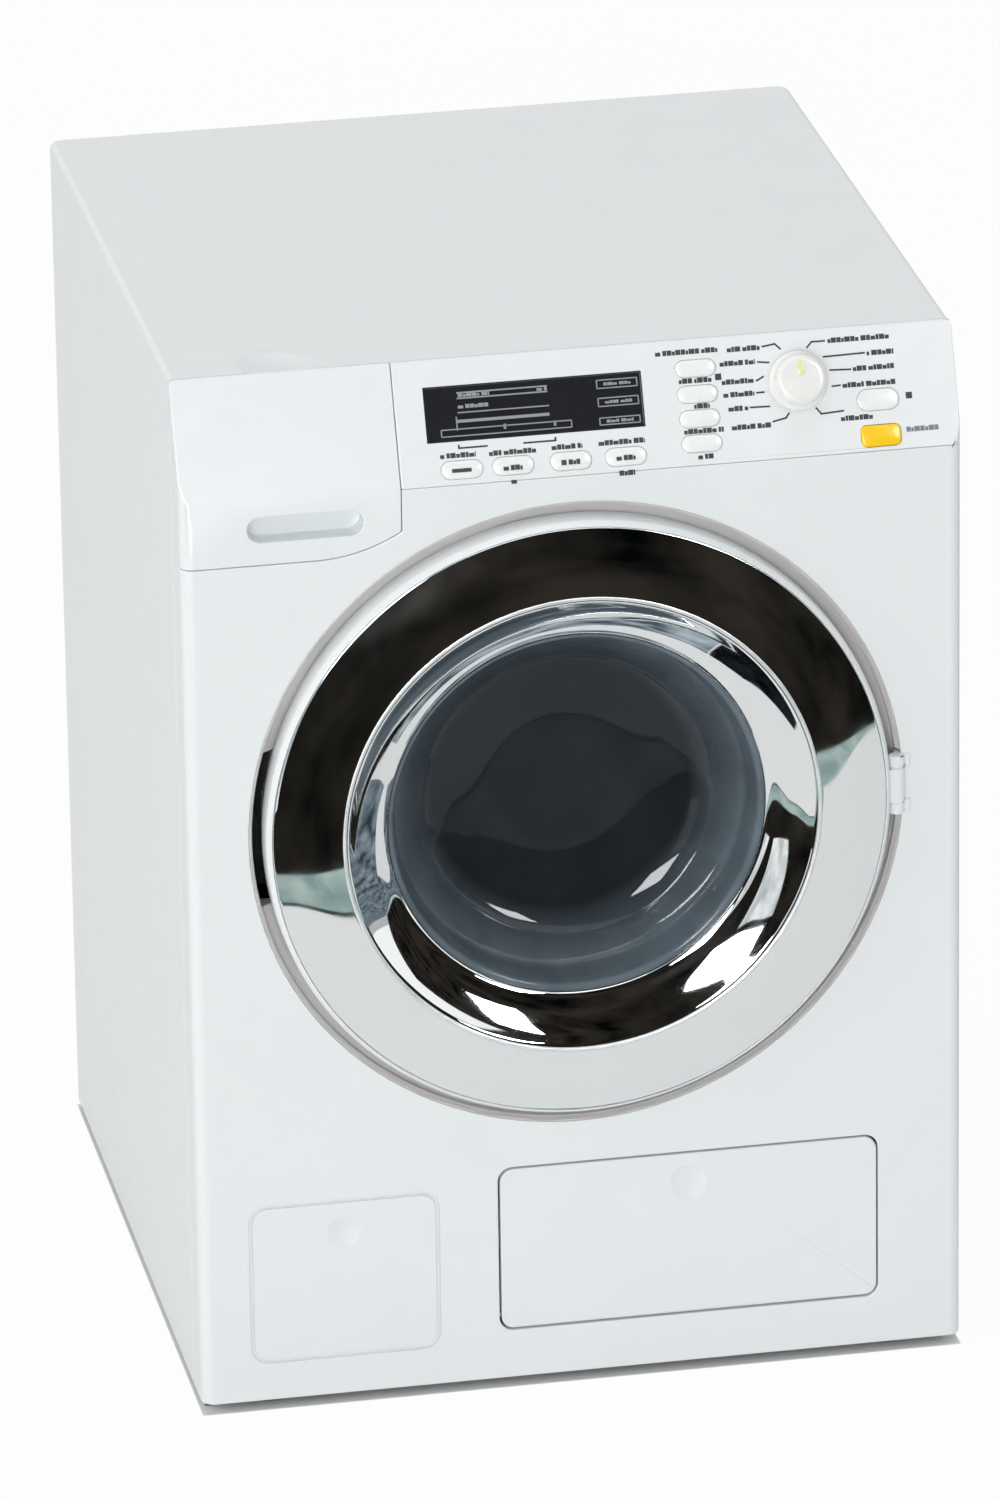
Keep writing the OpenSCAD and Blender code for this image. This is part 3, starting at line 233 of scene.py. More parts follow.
def add_piece(name, bm, mat, body, nodes=(), sharp=32):
    """Object of a mesh, shaded smooth below the sharp angle, riding on its body."""
    bmesh.ops.recalc_face_normals(bm, faces=bm.faces)
    mesh = bpy.data.meshes.new(name)
    bm.to_mesh(mesh)
    bm.free()
    mesh.materials.append(mat)
    mesh.polygons.foreach_set("use_smooth", [True] * len(mesh.polygons))
    mesh.set_sharp_from_angle(angle=math.radians(sharp))
    piece = bpy.data.objects.new(name, mesh)
    bpy.context.scene.collection.objects.link(piece)
    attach(piece, body)
    if nodes:
        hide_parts(*nodes)
    return piece


def join_loops(bm, loops, close=False):
    """Walls between rings of vertices; a ring of one vertex is a pole."""
    pairs = list(zip(loops, loops[1:])) + ([(loops[-1], loops[0])] if close else [])
    for a, b in pairs:
        count = max(len(a), len(b))
        for i in range(count):
            j = (i + 1) % count
            corner = [a[i % len(a)], a[j % len(a)], b[j % len(b)], b[i % len(b)]]
            corner = [v for k, v in enumerate(corner) if v not in corner[:k]]
            if len(corner) > 2:
                bm.faces.new(corner)


def rounded(points, steps=5):
    """Outline with its corners rounded; a point is (a, b) or (a, b, radius)."""
    out = []
    for i, p in enumerate(points):
        here = Vector(p[:2])
        radius = p[2] if len(p) > 2 else 0
        if not radius:
            out.append(here)
            continue
        ends = []
        for q in (points[i - 1], points[(i + 1) % len(points)]):
            way = Vector(q[:2]) - here
            ends.append(here + way * min(radius / way.length, 0.48))
        for k in range(steps + 1):
            t = k / steps
            out.append(ends[0] * (1 - t) ** 2 + here * 2 * t * (1 - t) + ends[1] * t * t)
    return out


def spin(bm, outline, centre, axis, close, segments=192):
    """Turned form: outline points are (radius, height along the axis) in millimetres."""
    side = axis.orthogonal().normalized()
    other = axis.cross(side)
    rings = []
    for radius, height in outline:
        middle = centre + axis * height * MM
        if radius < 1e-4:
            rings.append([bm.verts.new(middle)])
            continue
        turns = [2 * math.pi * k / segments for k in range(segments)]
        rings.append([bm.verts.new(middle + (side * math.cos(a) + other * math.sin(a)) * radius * MM)
                      for a in turns])
    join_loops(bm, rings, close)


def stadium(width, height, count=12):
    """Outline with round ends, as (across, up) pairs in millimetres."""
    r = min(width, height) / 2
    points = []
    for sign in (1, -1):
        for k in range(count):
            a = math.radians(-90 + 180 * k / (count - 1))
            points.append((sign * (max(width - height, 0) / 2 + r * math.cos(a)), sign * r * math.sin(a)))
    return points


def on_slope(x, s, out=0.0):
    """Point of the sloping fascia: x, way up the slope and height over it, in millimetres."""
    return Vector((x * MM, FRONT, KINK)) + UP_SLOPE * s * MM + OUT_SLOPE * out * MM


def at_door(x, z, out=0.0):
    """Point in front of the door plane, in millimetres from the door's middle."""
    return Vector((x * MM, FRONT - out * MM, DOOR_Z + z * MM))


def loft(bm, levels):
    """Closed form through outlines, each a list of points."""
    rings = [[bm.verts.new(p) for p in level] for level in levels]
    join_loops(bm, rings)
    bm.faces.new(rings[0])
    bm.faces.new(rings[-1])


def copy_of(node, cuts=()):
    """The CAD node's mesh, welded and with its flat faces joined, but parted at the cuts across x."""
    bm = bmesh.new()
    bm.from_mesh(NODES[node].data)
    for layer in list(bm.loops.layers.uv):
        bm.loops.layers.uv.remove(layer)
    bmesh.ops.remove_doubles(bm, verts=bm.verts, dist=0.004 * MM)
    for x in cuts:
        cut = bmesh.ops.bisect_plane(bm, geom=bm.verts[:] + bm.edges[:] + bm.faces[:], dist=1e-7,
                                     plane_co=(x * MM, 0, 0), plane_no=(1, 0, 0))
        for part in cut["geom_cut"]:
            if isinstance(part, bmesh.types.BMEdge):
                part.seam = True
    bmesh.ops.dissolve_limit(bm, angle_limit=math.radians(0.5), verts=bm.verts, edges=bm.edges,
                             delimit={"SEAM"})
    return bm


def shell(node, mat, slot, edge=0.4, wide=None, turn=32, segments=3, change=None, cuts=()):
    """The node's own shape with rounded edges; wide gives the rounding at an edge's middle."""
    bm = copy_of(node, cuts)
    if change:
        change(bm)
    layer = bm.edges.layers.float.new("bevel_weight_edge")
    widths = {}
    for e in bm.edges:
        if len(e.link_faces) == 2 and e.calc_face_angle(0) > math.radians(turn):
            middle = (e.verts[0].co + e.verts[1].co) / 2 / MM
            widths[e] = (wide(middle) if wide else None) or edge
    most = max(widths.values())
    for e, width in widths.items():
        e[layer] = width / most
    piece = add_piece(node + "_shell", bm, mat, BODY[node], [node], sharp=turn)
    bevel = piece.modifiers.new("round_edges", "BEVEL")
    bevel.limit_method = "WEIGHT"
    bevel.width = most * MM
    bevel.segments = segments
    bevel.use_clamp_overlap = False
    piece.modifiers.new("even_normals", "WEIGHTED_NORMAL").keep_sharp = False
    return piece


# Shells of the machine

def from_door(point):
    """Distance from the door's axis in millimetres, of a point in millimetres."""
    return math.hypot(point.x, point.z - DOOR_Z / MM)


def body_edges(middle):
    """Rounding of the outer top edges, and a fine one at the buttons and at the lower right corner."""
    side, display_left = 89, -39
    if middle.z > TOP / MM - 0.1:
        outer = abs(middle.x) > side or middle.y > cad_box[1].y / MM - 3.2
        return 1.6 if outer else 0.5
    hole = display_left < middle.x < side and KINK / MM + 0.6 < middle.z < TOP / MM - 1.5
    corner = middle.x > side - 1 and middle.z < KINK / MM + 1.2
    return 0.12 if hole else 0.08 if corner else None


def narrow_hole(bm):
    """Hole of the yellow button, drawn in around its cap by a share of its width and height."""
    reach_x, reach_up, reach_out = 5.8, 3.2, 4
    narrower, lower = 0.07, 0.1
    centre = on_slope(YELLOW_X, YELLOW_S)
    for v in bm.verts:
        away = (v.co - centre) / MM
        up, out = away.dot(UP_SLOPE), away.dot(OUT_SLOPE)
        if abs(away.x) < reach_x and abs(up) < reach_up and abs(out) < reach_out:
            v.co.x -= narrower * away.x * MM
            v.co -= UP_SLOPE * up * lower * MM


def cover_edges(middle):
    """Rounded upper edges of the top cover; its lower rim is left almost sharp."""
    return body_edges(middle) if middle.z > TOP / MM - 0.1 else 0.05


def panel_edges(middle):
    """Crisp edge around the door and soft walls of the moulded groove, both on the panel's face."""
    if middle.y < FRONT / MM + 0.6:
        if abs(from_door(middle) - RECESS_R) < 0.3:
            return 0.15
        if middle.x < SQUARE_RIGHT and middle.z < SQUARE_TOP:
            return 0.1
    return None


def slant_rim(bm):
    """Door recess with a rim slanting in from the panel's edge and a floor that rises outward."""
    rim_r, wall_low, wall_high = 77.7, 76.9, 77.5
    floor_depth, raised_depth = 6.5, 3.7
    for v in bm.verts:
        radius = from_door(v.co / MM)
        if v.co.y < FRONT + 0.05 * MM:
            outer = radius > rim_r
            v.co.y += (0.1 if outer else 1.5) * MM
            if outer and radius < RECESS_R:
                wider = (RECESS_R - 0.03) / radius
                v.co.x *= wider
                v.co.z = DOOR_Z + (v.co.z - DOOR_Z) * wider
        elif abs(v.co.y - FRONT - floor_depth * MM) < 0.1 * MM and wall_low < radius < wall_high:
            v.co.y = FRONT + raised_depth * MM


def dress_panel(bm):
    """Upper edge raised to a hairline below the fascia, and a moulded groove with a deeper floor."""
    raised, groove_depth, deeper = 0.2, 0.5, 0.3
    for v in bm.verts:
        if v.co.z > KINK - 0.2 * MM:
            v.co.z += raised * MM
        in_groove = v.co.x < SQUARE_RIGHT * MM and v.co.z < SQUARE_TOP * MM
        if in_groove and abs(v.co.y - FRONT - groove_depth * MM) < 0.02 * MM:
            v.co.y += deeper * MM


def swell(amount):
    """Change that moves the walls facing right, down or back outward by an amount in millimetres."""
    def change(bm):
        bm.normal_update()
        ways = {}
        for f in bm.faces:
            n = f.normal
            if abs(n.y) < 0.5 and (n.x > 0.2 or n.z < -0.2):
                for v in f.verts:
                    ways.setdefault(v, set()).add((round(n.x, 2), 0.0, round(n.z, 2)))
        for v, normals in ways.items():
            way = sum((Vector(n) for n in normals), Vector())
            v.co += way.normalized() * amount * MM
    return change


def add_shells(mats):
    """The outer pieces, each the node's own shape with rounded edges."""
    white = mats["white"], "white_plastic", 0.35
    shell("cabinet", *white)
    shell("front_panel", *white, panel_edges, change=dress_panel, cuts=(SQUARE_X, 0, FLAP_X))
    shell("fascia_panel", *white, body_edges, change=narrow_hole)
    shell("drawer_front", *white, body_edges, change=swell(0.12))
    shell("top_cover", *white, cover_edges)
    shell("dosing_flap", *white, change=swell(0.1), cuts=(FLAP_X,))
    shell("rear_cover", mats["light_grey"], "grey_plastic", 0.3)
    shell("battery_cover", mats["light_grey"], "grey_plastic", 0.3)
    # The door surround is grey as painted shade of the recess around the door.
    shell("door_surround", mats["recess_shade_grey"], "grey_plastic", 0.2, change=slant_rim)
    shell("door_frame", mats["white"], "white_plastic", 0.14)
    # The base plate's dark colour shows as a strip below the white walls: painted shade for the gap under
    # the body.
    shell("base_plate", mats["dark"], "dark_plastic", 0.3)


def hinge_outline(radius, square):
    """Outline around the hinge pin, round at the front; its left front corner may be square."""
    left = PIN_X - 1.7
    turns = [math.radians(180 - 10 * k) for k in range(19) if not square or k > 8]
    points = [(PIN_X + radius * math.cos(a), PIN_OUT + radius * math.sin(a)) for a in turns]
    if square:
        points = [(left, PIN_OUT), (left, PIN_OUT + radius)] + points
    return points


def add_hinge_caps(mats):
    """Caps that close the seams between the two fixed hinge ears and the knuckle between them."""
    for name, low, high, body, radius in (("hinge_cap_low", -6.0, -2.96, "machine", 1.7),
                                          ("hinge_cap_door", -2.9, 5.5, "door", 1.94),
                                          ("hinge_cap_high", 5.56, 8.6, "machine", 1.7)):
        outline = hinge_outline(radius, body == "door")
        bm = bmesh.new()
        loft(bm, [[at_door(x, z, out) for x, out in outline] for z in (low, high)])
        add_piece(name, bm, mats["white"], body, sharp=40)


# Door

def turned(name, outline, mat, nodes, close=True, body="door"):
    """Piece turned about the door's axis, heights counted inward from the panel's face."""
    bm = bmesh.new()
    spin(bm, rounded(outline), Vector((0, FRONT, DOOR_Z)), Vector((0, 1, 0)), close)
    return add_piece(name, bm, mat, body, nodes)


def add_door(mats):
    """Chrome ring with a crowned face, funnel inside it, satin lip between them, and clear bowl."""
    r_out, r_in, steps = CHROME_R / MM, 57.0, 28
    edge, rise, crowning = -4.5, 2.9, 0.4
    crown = []
    for k in range(steps + 1):
        t = k / steps
        height = edge - rise * t - crowning * math.sin(math.pi * t)
        crown.append((r_out + (r_in - r_out) * t, height))
    crown[0] += (0.2,)
    crown[-1] += (0.2,)
    turned("chrome_ring_form", crown + [(r_in, -2.3, 0.2), (r_in + 1.6, -2.3, 0.2),
                                        (r_in + 1.6, -5.8, 0.2), (r_out - 1.6, -3.8, 0.2),
                                        (r_out - 1.6, -2.3, 0.2), (r_out, -2.3, 0.2)],
           mats["chrome"], ["chrome_ring"])
    turned("chrome_funnel_form",
           [(56.9, -7.0, 0.2), (56.3, -7.3, 0.3), (55.8, -7.2, 0.5), (53, -4.8, 2), (49, -2.0, 2),
            (46, -0.6, 1), (45, 0.2, 0.5), (45, 1.1, 0.2), (56.9, 1.1, 0.2)],
           mats["chrome"], ["chrome_funnel"])
    turned("funnel_lip", [(57.25, -7.2, 0.1), (57.2, -7.6, 0.3), (56.4, -7.55, 0.3), (56.3, -7.1, 0.1)],
           mats["satin_chrome"], [])
    turned("glass_bowl_form",
           [(0, 22.2), (20, 22, 6), (34, 20.4, 9), (41, 10.6, 2), (42.2, 9.4, 1.5),
            (43.6, 1.9, 1), (44.4, 1.2, 0.8), (57.4, 1.2, 0.3), (57.4, 3.4, 0.3),
            (45.6, 3.4, 0.8), (44.1, 10.4, 2), (42.8, 12, 2), (35.6, 21.8, 7), (20, 23.7, 6),
            (0, 23.8)],
           mats["glass"], ["glass_bowl"], close=False)


# Fascia

def add_knob(mats):
    """Knob with its stem, and the painted pointer on its face."""
    centre = on_slope(KNOB_X, KNOB_S)
    bm = bmesh.new()
    spin(bm, rounded([(0, -8), (3, -8, 0.3), (3, 0.4, 0.1), (6.7, 0.4, 0.1), (7, 0.7, 0.2),
                      (6.9, 1.8, 0.5), (6.1, 2.5, 0.6), (5.9, 4.6, 0.6), (5.4, 5.7, 0.7),
                      (4.2, 5.95, 1.2), (2, 5.8, 1.0), (0, 5.75)]),
         centre, OUT_SLOPE, False, 128)
    add_piece("knob_form", bm, mats["knob"], "knob", ["knob"], sharp=40)
    bm = bmesh.new()
    levels = [(5.2, 1), (5.85, 1), (5.97, 0.85)]
    pointer_s = KNOB_S + 2.7
    loft(bm, [[on_slope(KNOB_X + x * share, pointer_s + y * share, out)
               for y, x in stadium(3.6, 1.7)] for out, share in levels])
    add_piece("knob_pointer", bm, mats["pointer"], "knob", sharp=40)


def add_button(node, x, s, width, height, mat, corner=None, brim=0.46):
    """Crowned cap with its skirt and stem, lofted through one row of (out, width, height)."""
    stem, crown_rise, crown_inset = 2.0, 0.42, 1.8
    levels = [(-7.2, stem - 0.2, stem - 0.2), (-7.0, stem, stem), (-4.1, stem, stem),
              (-4.1, width + 1.2, height + 1.0), (-3.3, width + 1.2, height + 1.0),
              (-3.3, width + brim, height + brim), (-0.12, width + brim, height + brim),
              (0, width + brim - 0.14, height + brim - 0.14)]
    for k in range(7):
        a = math.radians(15 * k)
        inset = crown_inset * (1 - math.cos(a)) - brim / 2
        levels.append((0.02 + crown_rise * math.sin(a), width - inset, height - inset))
    levels += [(0.52, width - 2.2, height - 2.2), (0.56, width - 2.9, height - 2.9)]
    bm = bmesh.new()
    loft(bm, [[on_slope(x + u, s + v, out) for u, v in button_outline(w, h, corner)]
              for out, w, h in levels])
    add_piece(node + "_form", bm, mat, BODY[node], [node], sharp=40)


def button_outline(width, height, corner):
    """Outline with round ends or, where a corner radius is given, a rounded rectangle."""
    r = min(corner or height, width / 2, height / 2)
    points = []
    for k in range(24):
        a = math.radians(15 * (k + 0.5))
        side = 1 if math.cos(a) > 0 else -1
        rise = 1 if math.sin(a) > 0 else -1
        points.append((side * (width / 2 - r) + r * math.cos(a),
                       rise * (height / 2 - r) + r * math.sin(a)))
    return points


def add_buttons(mats):
    """The row below the display, the column beside it, and the two at the right."""
    for k, x in enumerate((-25.9, -13.8, -0.2, 12.8)):
        add_button(f"button_row_{k + 1}", x, 3.7, 9.4, 3.8, mats["cap"])
    for k, s in enumerate((5.3, 11.1, 16.8, 22.8)):
        add_button(f"button_col_{k + 1}", 31, s, 9.2, 3.6, mats["cap"])
    add_button("button_white", YELLOW_X, 12.2, 9.6, 4.6, mats["cap"])
    add_button("button_yellow", YELLOW_X, YELLOW_S, 9.2, 4.7, mats["yellow"], 1.3, 0.3)


def add_pads(name, pads, mat, body="machine", low=-0.02, high=0.03):
    """Thin printed strokes on the slope, each (x, s, width, height, turn in degrees)."""
    bm = bmesh.new()
    for x, s, width, height, turn in pads:
        c, n = math.cos(math.radians(turn)), math.sin(math.radians(turn))
        u, v = width / 2, height / 2
        flat = [(-u, -v), (u, -v), (u, v), (-u, v)]
        loft(bm, [[on_slope(x + u * c - v * n, s + u * n + v * c, out) for u, v in flat]
                  for out in (low, high)])
    return add_piece(name, bm, mat, body)


# Widths of the plain bars, taken in turn, so that a row of them looks like print from afar.
BAR_WIDTHS = (1.25, 0.9, 1.1, 0.7, 1.2, 1.0, 0.6, 1.35, 1.0, 0.8)


def bars(x0, x1, s, height=1.2, first=0):
    """Row of small plain bars that stands where a printed label would."""
    out, x, k = [], x0, first
    while x < x1 - 0.2:
        width = min(BAR_WIDTHS[k % len(BAR_WIDTHS)], x1 - x)
        tall = height * (1 if k % 3 else 0.75)
        out.append((x + width / 2, s - (height - tall) / 2, width, tall, 0))
        x += width + (0.12 if (k + first) % 8 else 0.5)
        k += 1
    return out


def stroke(x0, s0, x1, s1, width=0.42):
    """Pad that runs as a line between two places."""
    length = math.hypot(x1 - x0, s1 - s0)
    turn = math.degrees(math.atan2(s1 - s0, x1 - x0))
    return ((x0 + x1) / 2, (s0 + s1) / 2, length + width, width, turn)


def add_fascia_print(mats):
    """Plain bars (from, to, height on the slope) and leader lines in place of the printed words."""
    labels = [(21.8, 36.6, 26.8), (26.8, 34.8, 20.0), (29.9, 33.6, 14.0), (27.0, 36.4, 8.2),
              (29.8, 33.5, 2.2), (38.8, 46.6, 26.5), (36.8, 45.2, 23.3), (36.9, 44.6, 19.0),
              (37.0, 44.4, 16.0), (37.9, 42.6, 12.7), (38.3, 47.8, 8.3), (62.8, 77.7, 26.8),
              (71.8, 78.2, 23.2), (68.2, 78.0, 19.8), (65.4, 78.3, 16.1), (64.3, 72.2, 8.4),
              (-30.8, -22.4, 7.1), (-19.3, -8.2, 6.9), (-4.5, 2.8, 7.1), (6.6, 17.6, 7.2)]
    pads = []
    for k, (x0, x1, s) in enumerate(labels):
        pads += bars(x0, x1, s, first=3 * k)
    add_pads("fascia_labels", pads, mats["print"])
    leaders = [(47.3, 26.6, 50.2, 27.0), (50.2, 27.0, 51.4, 25.8), (45.9, 23.1, 48.4, 22.8),
               (45.2, 18.8, 46.8, 19.6), (45.0, 16.0, 46.6, 16.0), (43.2, 12.7, 47.6, 12.6),
               (48.3, 9.0, 51.3, 9.6), (51.3, 9.6, 52.1, 10.6), (57.8, 25.6, 59.0, 26.8),
               (59.0, 26.8, 62.0, 26.8), (61.5, 23.1, 71.2, 23.3), (62.8, 19.9, 67.6, 19.7),
               (63.0, 16.1, 64.8, 16.2), (58.7, 11.3, 59.8, 9.9), (59.8, 9.9, 65.0, 10.2),
               (-26.2, 8.7, -19.6, 8.7), (-10.8, 8.7, -3.4, 8.7), (-26.2, 8.7, -26.2, 9.3),
               (-3.4, 8.7, -3.4, 9.3)]
    add_pads("fascia_leaders", [stroke(*p) for p in leaders] + [(80.9, 12.6, 1.5, 1.5, 0),
                                                                (36.2, 20.4, 1.5, 1.5, 0)],
             mats["print"])
    add_pads("yellow_label", bars(79.6, 87.6, 4.7, first=5), mats["thin_print"])


def add_button_marks(mats):
    """Marks on the caps of the lower row, riding on their buttons."""
    marks = {"button_row_1": [(-26.1, 3.5, 4.6, 0.9, 0)], "button_row_2": bars(-16.3, -11.8, 3.2),
             "button_row_3": bars(-2.6, 1.8, 3.4, first=4), "button_row_4": bars(10.4, 14.9, 3.4)}
    for node, pads in marks.items():
        add_pads(node + "_mark", pads, mats["print"], BODY[node], 0.5, 0.64)
    add_pads("row_marks", [(-14.0, -0.1, 1.3, 0.9, 0)] + bars(10.9, 14.6, -0.1, first=2),
             mats["print"])


def box_outline(x0, x1, s0, s1, width=0.28):
    """Four strokes around a box."""
    return [stroke(x0, s0, x1, s0, width), stroke(x1, s0, x1, s1, width),
            stroke(x1, s1, x0, s1, width), stroke(x0, s1, x0, s0, width)]


def add_display(mats):
    """Dark lens with three boxes at its right, and lines, bars and a long box at its left."""
    shell("display_lens", mats["black"], "black_gloss", 0.25)
    pads = []
    for s0, s1 in ((19.9, 21.8), (15.7, 17.6), (11.4, 13.0)):
        pads += box_outline(7.4, 16.9, s0, s1)
        pads += bars(9.0, 15.4, (s0 + s1) / 2, 0.7, first=int(s0))
    pads += box_outline(-30.0, 0.7, 11.5, 13.1)
    pads += bars(-25.6, -18.2, 18.3, 0.9)
    pads += [(-15, 21.5, 21.4, 0.35, 0), (-15, 20.2, 21.4, 0.35, 0), (-15, 16.9, 21.6, 0.3, 0),
             (-26.2, 14.4, 0.3, 3.2, 0), (-15.2, 14.9, 21.8, 0.7, 0), (-15, 12.9, 0.6, 1.2, 0),
             (-3.2, 12.7, 0.6, 1.2, 0)]
    pads += bars(-25.4, -18.0, 20.9, 0.8, first=2) + bars(-6.8, -4.4, 20.9, 0.8)
    add_pads("display_marks", pads, mats["pale_print"], low=0.05, high=0.13)


# Nodes kept as they come from the frame

def paint(names, mat):
    """Material of the named nodes, which keep their meshes."""
    for name in names.split():
        slots = NODES[name].data.materials
        if not len(slots):
            slots.append(mat)
        for k in range(len(slots)):
            NODES[name].material_slots[k].link = "OBJECT"
            NODES[name].material_slots[k].material = mat


def paint_nodes(mats):
    """Looks of the pieces inside and behind, which show as the frame gives them."""
    # The flap box is grey so that the seam around the flap shows darker: painted shade in that gap.
    paint("tub drawer_housing fill_tube drain_tube flap_box", mats["light_grey"])
    paint("drum_paddles door_back_ring drawer_tray", mats["white"])
    paint("feet door_gasket", mats["rubber"])
    paint("drum drum_nut drum_shaft motor_shaft motor motor_bracket bracket_screws cover_screws "
          "battery_screw battery_contacts door_parts_screws hinge_pin flap_pin", mats["steel"])
    paint("drum_pulley motor_pulley battery_box push_switches encoder display_module speaker",
          mats["dark"])
    paint("shaft_bearings", mats["bronze"])
    paint("drive_belt", mats["belt"])
    paint("circuit_board", mats["board"])
    paint("battery_cells", mats["wrap"])


# Studio

def stage_material(name, build):
    """Material of the stage, its nodes made by a function."""
    mat = bpy.data.materials.new(name)
    mat.use_nodes = True
    mat.node_tree.nodes.clear()
    build(mat.node_tree)
    return mat


def between(tree, value, low, high):
    """1 where the value lies between low and high, else 0."""
    over = add_node(tree, "Math", {0: value, 1: low}, operation="GREATER_THAN")
    under = add_node(tree, "Math", {0: value, 1: high}, operation="LESS_THAN")
    return add_node(tree, "Math", {0: over.outputs[0], 1: under.outputs[0]},
                    operation="MULTIPLY").outputs[0]


def floor_tree(tree):
    """Pale floor that shows nearly white to the camera, and keeps its shadow under the machine."""
    grain = add_node(tree, "TexNoise", {"Scale": 300, "Detail": 2})
    tone = add_node(tree, "MapRange", {"Value": grain.outputs["Fac"], "To Min": 0.84, "To Max": 0.88})
    plain = add_node(tree, "BsdfDiffuse", {"Color": tone.outputs[0]})
    glow = add_node(tree, "Emission", {"Color": (1, 1, 1, 1), "Strength": 1.0})
    place = add_node(tree, "SeparateXYZ", {0: add_node(tree, "TexCoord").outputs["Object"]})
    under = add_node(tree, "Math", {0: between(tree, place.outputs[0], cad_box[0].x, cad_box[1].x),
                                    1: between(tree, place.outputs[1], FRONT, cad_box[1].y)},
                     operation="MULTIPLY")
    path = add_node(tree, "LightPath")
    share = add_node(tree, "MapRange", {"Value": under.outputs[0], "To Min": 0.95, "To Max": 0.0})
    share = add_node(tree, "Math", {0: path.outputs["Is Camera Ray"], 1: share.outputs[0]},
                     operation="MULTIPLY")
    both = add_node(tree, "MixShader", {0: share.outputs[0], 1: plain.outputs[0], 2: glow.outputs[0]})
    add_node(tree, "OutputMaterial", {"Surface": both.outputs[0]})


def flat_mesh(name, corners, mat):
    """One flat face that belongs to the stage."""
    bm = bmesh.new()
    bm.faces.new([bm.verts.new(c) for c in corners])
    mesh = bpy.data.meshes.new(name)
    bm.to_mesh(mesh)
    bm.free()
    mesh.materials.append(mat)
    piece = bpy.data.objects.new(name, mesh)
    bpy.context.scene.collection.objects.link(piece)
    return piece


def add_floor():
    """Pale floor out to some metres on every side."""
    reach = 12
    flat_mesh("floor", [(-reach, -reach, 0), (reach, -reach, 0), (reach, reach, 0),
                        (-reach, reach, 0)], stage_material("floor_pale", floor_tree))


def card_tree(low, high, strength, size):
    """Glowing card with a cloudy tone between two levels; size is that of the clouds in metres."""
    def build(tree):
        where = add_node(tree, "TexCoord").outputs["Object"]
        grain = add_node(tree, "TexNoise", {"Vector": where, "Scale": 1 / size, "Detail": 4})
        spread = add_node(tree, "MapRange", {"Value": grain.outputs["Fac"], "From Min": 0.35,
                                             "From Max": 0.65})
        tone = add_node(tree, "Mix", {"Factor": spread.outputs[0]}, data_type="RGBA")
        tone.inputs["A"].default_value = rgb(low)
        tone.inputs["B"].default_value = rgb(high)
        glow = add_node(tree, "Emission", {"Color": tone.outputs["Result"], "Strength": strength})
        add_node(tree, "OutputMaterial", {"Surface": glow.outputs[0]})
    return build


def mirror_card(name, strips, low, high, strength=1.0, size=0.3):
    """Painted reflection: glowing card of four-cornered pieces that only mirrors see."""
    mat = stage_material(name + "_glow", card_tree(low, high, strength, size))
    for k, corners in enumerate(strips):
        card = flat_mesh(f"{name}_{k + 1}", corners, mat)
        card.visible_camera = card.visible_diffuse = card.visible_shadow = False
        card.visible_transmission = False


def upright(points, bottom, top):
    """Upright strips over a line on the floor."""
    return [[(*a, bottom), (*b, bottom), (*b, top), (*a, top)] for a, b in zip(points, points[1:])]


def between_lines(one, other, lift):
    """Strips that lie between two lines on the floor."""
    return [[(*a, lift), (*b, lift), (*d, lift), (*c, lift)]
            for a, b, c, d in zip(one, one[1:], other, other[1:])]


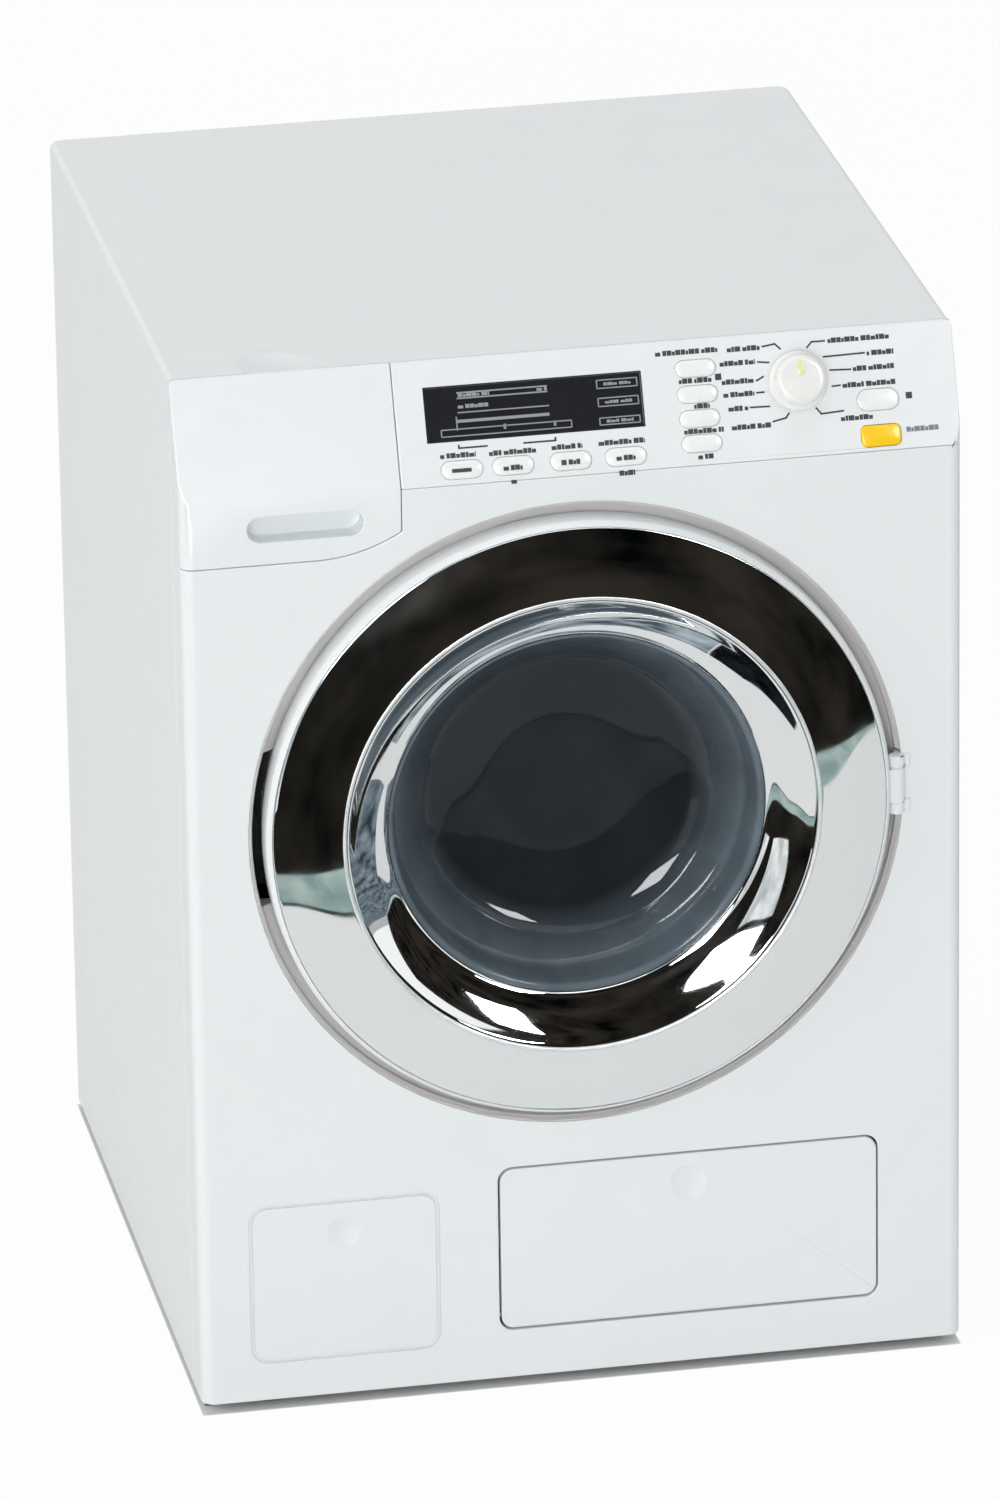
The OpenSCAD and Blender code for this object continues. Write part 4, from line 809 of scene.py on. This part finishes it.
def add_cards():
    """Painted reflections in the door: the table's far edge, the dark room behind it, and its windows."""
    far = [(-1.2, -0.02), (-0.166, -0.378), (-0.061, -0.423), (0.233, -0.514), (0.444, -0.562),
           (2.4, -0.95)]
    near = [(-1.2, 0.03), (-0.149, -0.331), (-0.058, -0.363), (0.21, -0.452), (0.434, -0.545),
            (2.4, -0.93)]
    brim = [(x, y + 0.006) for x, y in near]
    mirror_card("dark_wall", upright(far, 0.0005, 0.85), "040607", "302C27", size=0.13)
    mirror_card("table_edge", between_lines(near, far, 0.0005), "869C98", "B2C2BE", size=0.05)
    mirror_card("edge_line", between_lines(brim[:4], near[:4], 0.001), "2E3A38", "56625E")
    mirror_card("side_table", [[(0.18, -0.2, 0.001), (0.5, -0.3, 0.001), (0.5, 0.4, 0.001),
                                (0.18, 0.4, 0.001)],
                               [(0.5, -0.54, 0.001), (2.4, -0.91, 0.001), (2.4, 0.4, 0.001),
                                (0.5, 0.4, 0.001)]], "2E3840", "8896A0", size=0.06)
    mirror_card("front_shade", [[(-0.021, -0.145, 0.001), (0.14, -0.145, 0.001),
                                 (0.14, -0.1, 0.001), (-0.021, -0.1, 0.001)]],
                "39434C", "B4C0C8", size=0.02)
    mirror_card("dark_corner", [[(-0.11, -0.145, 0.001), (-0.022, -0.145, 0.001),
                                 (-0.022, -0.1, 0.001), (-0.11, -0.1, 0.001)]],
                "06080A", "1C2226", size=0.02)
    mirror_card("low_window", upright([(-0.285, -0.331), (-0.172, -0.37)], 0.06, 0.21),
                "B8BCBE", "F8FAFA", size=0.05)
    # Bright glowing cards, no lamps: painted highlights on the glass bowl and the chrome.
    mirror_card("left_painted_glint", upright([(-0.26, -0.338), (-0.125, -0.385)], 0.23, 0.36),
                "FFFFFF", "F4F8FF", 24)
    mirror_card("right_painted_glint", upright([(0.3, -0.52), (0.56, -0.575)], 0.45, 0.7),
                "FFFFFF", "F4F8FF", 24)


def add_world():
    """White for the camera and for mirrors and glass, softer as light."""
    world = bpy.data.worlds.new("studio")
    bpy.context.scene.world = world
    world.use_nodes = True
    tree = world.node_tree
    tree.nodes.clear()
    path = add_node(tree, "LightPath")
    seen = add_node(tree, "Math", {0: path.outputs["Is Camera Ray"], 1: path.outputs["Is Glossy Ray"]},
                    operation="MAXIMUM")
    seen = add_node(tree, "Math", {0: seen.outputs[0], 1: path.outputs["Is Transmission Ray"]},
                    operation="MAXIMUM")
    back = add_node(tree, "Background", {"Color": (1, 1, 1, 1), "Strength": 1.0})
    light = add_node(tree, "Background", {"Color": (0.98, 0.995, 1, 1), "Strength": 0.55})
    mix = add_node(tree, "MixShader", {0: seen.outputs[0], 1: light.outputs[0], 2: back.outputs[0]})
    add_node(tree, "OutputWorld", {"Surface": mix.outputs[0]})


def add_lamp(name, place, aim, size, power, color=(1, 1, 1)):
    """Square soft lamp, with its size in metres and its power in watts."""
    data = bpy.data.lights.new(name, "AREA")
    data.color = color
    data.shape = "SQUARE"
    data.size = size
    data.energy = power
    lamp = bpy.data.objects.new(name, data)
    lamp.location = place
    lamp.rotation_euler = (Vector(aim) - Vector(place)).to_track_quat("-Z", "Y").to_euler()
    bpy.context.scene.collection.objects.link(lamp)


add_camera()
mats = make_materials()
add_shells(mats)
add_hinge_caps(mats)
add_door(mats)
add_knob(mats)
add_buttons(mats)
add_fascia_print(mats)
add_button_marks(mats)
add_display(mats)
paint_nodes(mats)
add_floor()
add_cards()
add_world()
add_lamp("key", (-0.5, -2.05, 0.55), (0, 0, 0.1), 0.8, 14.2)
add_lamp("left_fill", (-2.2, -0.3, 0.9), (0, 0, 0.13), 1.4, 12.8, (1, 0.97, 0.95))
add_lamp("top_fill", (0, 0.1, 2.4), (0, 0, 0.2), 1.6, 11.9, (1, 0.96, 0.97))

bpy.context.scene.view_settings.view_transform = "Standard"
